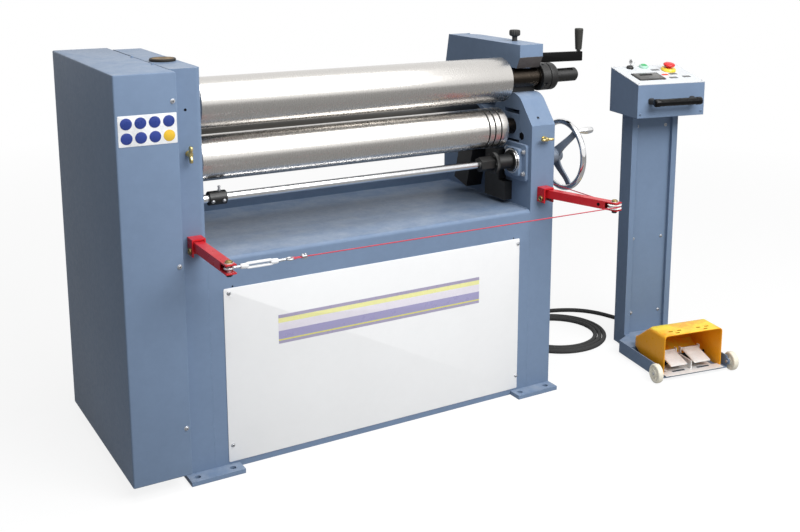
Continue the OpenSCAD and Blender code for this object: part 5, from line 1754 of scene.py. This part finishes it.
        # Across, u is sideways, drop is the depth below the top, and fall is how far down a wall
        left_u, left_d = -w + r - r * np.cos(bend), r - r * np.sin(bend)
        edge_u, edge_d = np.full(len(wall), w), np.full(len(wall), r)
        u = np.concatenate([-edge_u, left_u, flat, -left_u[::-1], edge_u])
        drop = np.concatenate([edge_d, left_d, np.zeros(len(flat)), left_d[::-1], edge_d])
        fall = np.concatenate([wall, np.zeros(2 * len(bend) + len(flat)), wall[::-1]])
        depth = np.array([front, -0.286, -0.277, -0.268, -0.259, -0.24, -0.22, ridge, -0.17, -0.14, back])
        top = np.where(depth <= ridge, self.guard_h, self.guard_h + (back_z - self.guard_h)
                       * (depth - ridge) / (back - ridge))
        foot = np.where(depth <= ridge + 0.01, low, low + 0.045 * (depth - ridge) / (back - ridge))
        high = top[:, None] - drop[None]
        z = high - fall[None] * (high - foot[:, None])
        count, cols = z.shape
        first = (np.arange(count - 1)[:, None] * cols + np.arange(cols - 1)[None])
        quads = np.stack([first, first + 1, first + cols + 1, first + cols], -1)
        keep = np.ones((count - 1, cols - 1), bool)
        mid_u = (u[1:] + u[:-1]) / 2
        for row, at in ((1, -0.056), (3, -0.074), (3, -0.039), (1, 0.056), (3, 0.074), (3, 0.039)):
            keep[row, int(np.argmin(np.abs(mid_u - at) + 10 * (drop[1:] + drop[:-1])))] = False
        mesh = bpy.data.meshes.new("bent_guard")
        points = carried(rows(u, depth[:, None], z).reshape(-1, 3), CONSOLE)
        mesh.from_pydata(points.tolist(), [], quads[keep].tolist())
        mesh.materials.append(GUARD_PAINT.material())
        mesh.shade_smooth()
        mesh.set_sharp_from_angle(angle=math.radians(38))
        obj = link("bent_guard", mesh)
        sheet = obj.modifiers.new("sheet", "SOLIDIFY")
        sheet.thickness, sheet.offset = self.guard_t, -1.0
        edge = obj.modifiers.new("edge", "BEVEL")
        edge.width, edge.segments, edge.limit_method, edge.angle_limit = 0.0006, 2, "ANGLE", math.radians(50)
        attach(obj, "machine")
        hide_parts("pedal_guard")
        LOG.info("bent_guard on machine")
        rear = Piece("guard_back", "machine", Slot.YELLOW)
        wide, thin, lip = self.guard_w - 0.004, 0.002, 0.057
        rear.add(plate(wide, back_z - lip, thin, 0.002, 0.0005), GUARD_PAINT,
                 at_console(0, back - thin, (back_z + lip) / 2, REAR))
        run, rise = back - ridge - 0.01, lip - low
        rear.add(plate(wide, math.hypot(run, rise), thin, 0.002, 0.0005), GUARD_PAINT,
                 at_console(0, (back + ridge + 0.01) / 2, (lip + low) / 2, (0, -rise, run)))
        rear.build()

    def pedals(self) -> None:
        """The pedal plate, and two bright pedals with raised ribs."""
        floor = Piece("pedal_bed", "machine", Slot.BRIGHT)
        floor.add(plate(0.236, 0.036, 0.0016, 0.002, 0.0005), PEDAL_METAL, at_console(0, -0.299, 0.0172))
        # Two dark strips on the pedal plate: painted shade for its slots
        for s in (-1, 1):
            floor.add(plate(0.05, 0.01, 0.0004, 0.001, 0.0001), SEAM_AND_SLOT_SHADE, at_console(s * 0.05, -0.288, 0.0188))
        floor.add(block((-0.103, -0.222, 0.017), (0.103, -0.216, 0.048), 0.001), BLACK_BAR, CONSOLE)
        floor.build()
        dress_node(PEDAL_METAL, "pedal_plate")
        width, length = self.pedal
        ribs = 13
        for s, name, body in ((-1, "left_footrest", "left_pedal"), (1, "right_footrest", "right_pedal")):
            piece = Piece(name, body, Slot.BRIGHT, body)
            lay = at_console(s * 0.048, *self.hinge) @ turned(math.radians(15), "X")
            piece.add(plate(width, length + 0.004, 0.004, 0.003, 0.001, foot=True), PEDAL_METAL,
                      lay @ moved(0, -length / 2 + 0.002, -0.002))
            rib = slab(rectangle(width - 0.01, 0.0022, 0.001, 3), rim(0.0012, 0.0005))
            piece.add(rib, PEDAL_METAL, *[lay @ moved(0, -0.006 - 0.0062 * k, 0.0019) for k in range(ribs)])
            axle = CONSOLE @ along_x(s * 0.048 - width / 2 - 0.006, *self.hinge)
            piece.rod(0, width + 0.012, 0.004, 24, ZINC, axle)
            piece.build()

    def wheels(self) -> None:
        """Cream wheels with a recessed face, a hub and an axle bolt."""
        u, w, z = self.wheel_at
        side = [(0.0055, 0.0329), (0.0085, 0.0315), (0.01, 0.029), (0.0095, 0.0245), (0.0072, 0.022)]
        tyre = [(-0.01, 0.01), (-0.0075, 0.011)] + [(-x, r) for x, r in side[::-1]] + [(0.0, self.wheel_r)]
        tyre += side + [(0.007, 0.0125), (0.0095, 0.0115), (0.01, 0.01), (0.01, 0.006)]
        for s, name, body in ((-1, "left_castor", "left_wheel"), (1, "right_castor", "right_wheel")):
            piece = Piece(name, body, Slot.CREAM, body)
            out = at_console(s * u, w, z, (s, 0, 0), REAR)
            piece.turn(tyre, 72, CREAM_PLASTIC, out)
            for k in range(6):
                spoke = out @ turned(k * math.pi / 3, "Z")
                piece.add(plate(0.011, 0.0022, 0.0022, 0.001, 0.0006), CREAM_PLASTIC, spoke @ moved(0.0172, 0, 0.0066))
            piece.add(hex_head(0.0085, 0.004), ZINC, out @ moved(0, 0, 0.0098))
            piece.rod(-0.022, -0.009, 0.0048, 24, ZINC, out)
            piece.build()

    def build(self) -> None:
        """Housing, controls, handle, guard, pedals and wheels."""
        self.housing()
        self.controls()
        self.handle()
        self.guard()
        self.pedals()
        self.wheels()


def main() -> None:
    """Builds the studio, then each sub-assembly in order."""
    logging.basicConfig(level=logging.INFO, format="%(name)s: %(message)s")
    Studio().build()
    FloorCable().build()
    for part in (Rolls(), Frames(), Adjuster(), LockingArm(), TripRope(), Console()):
        part.build()
        LOG.info("%s done", type(part).__name__)


if __name__ == "__main__":
    main()
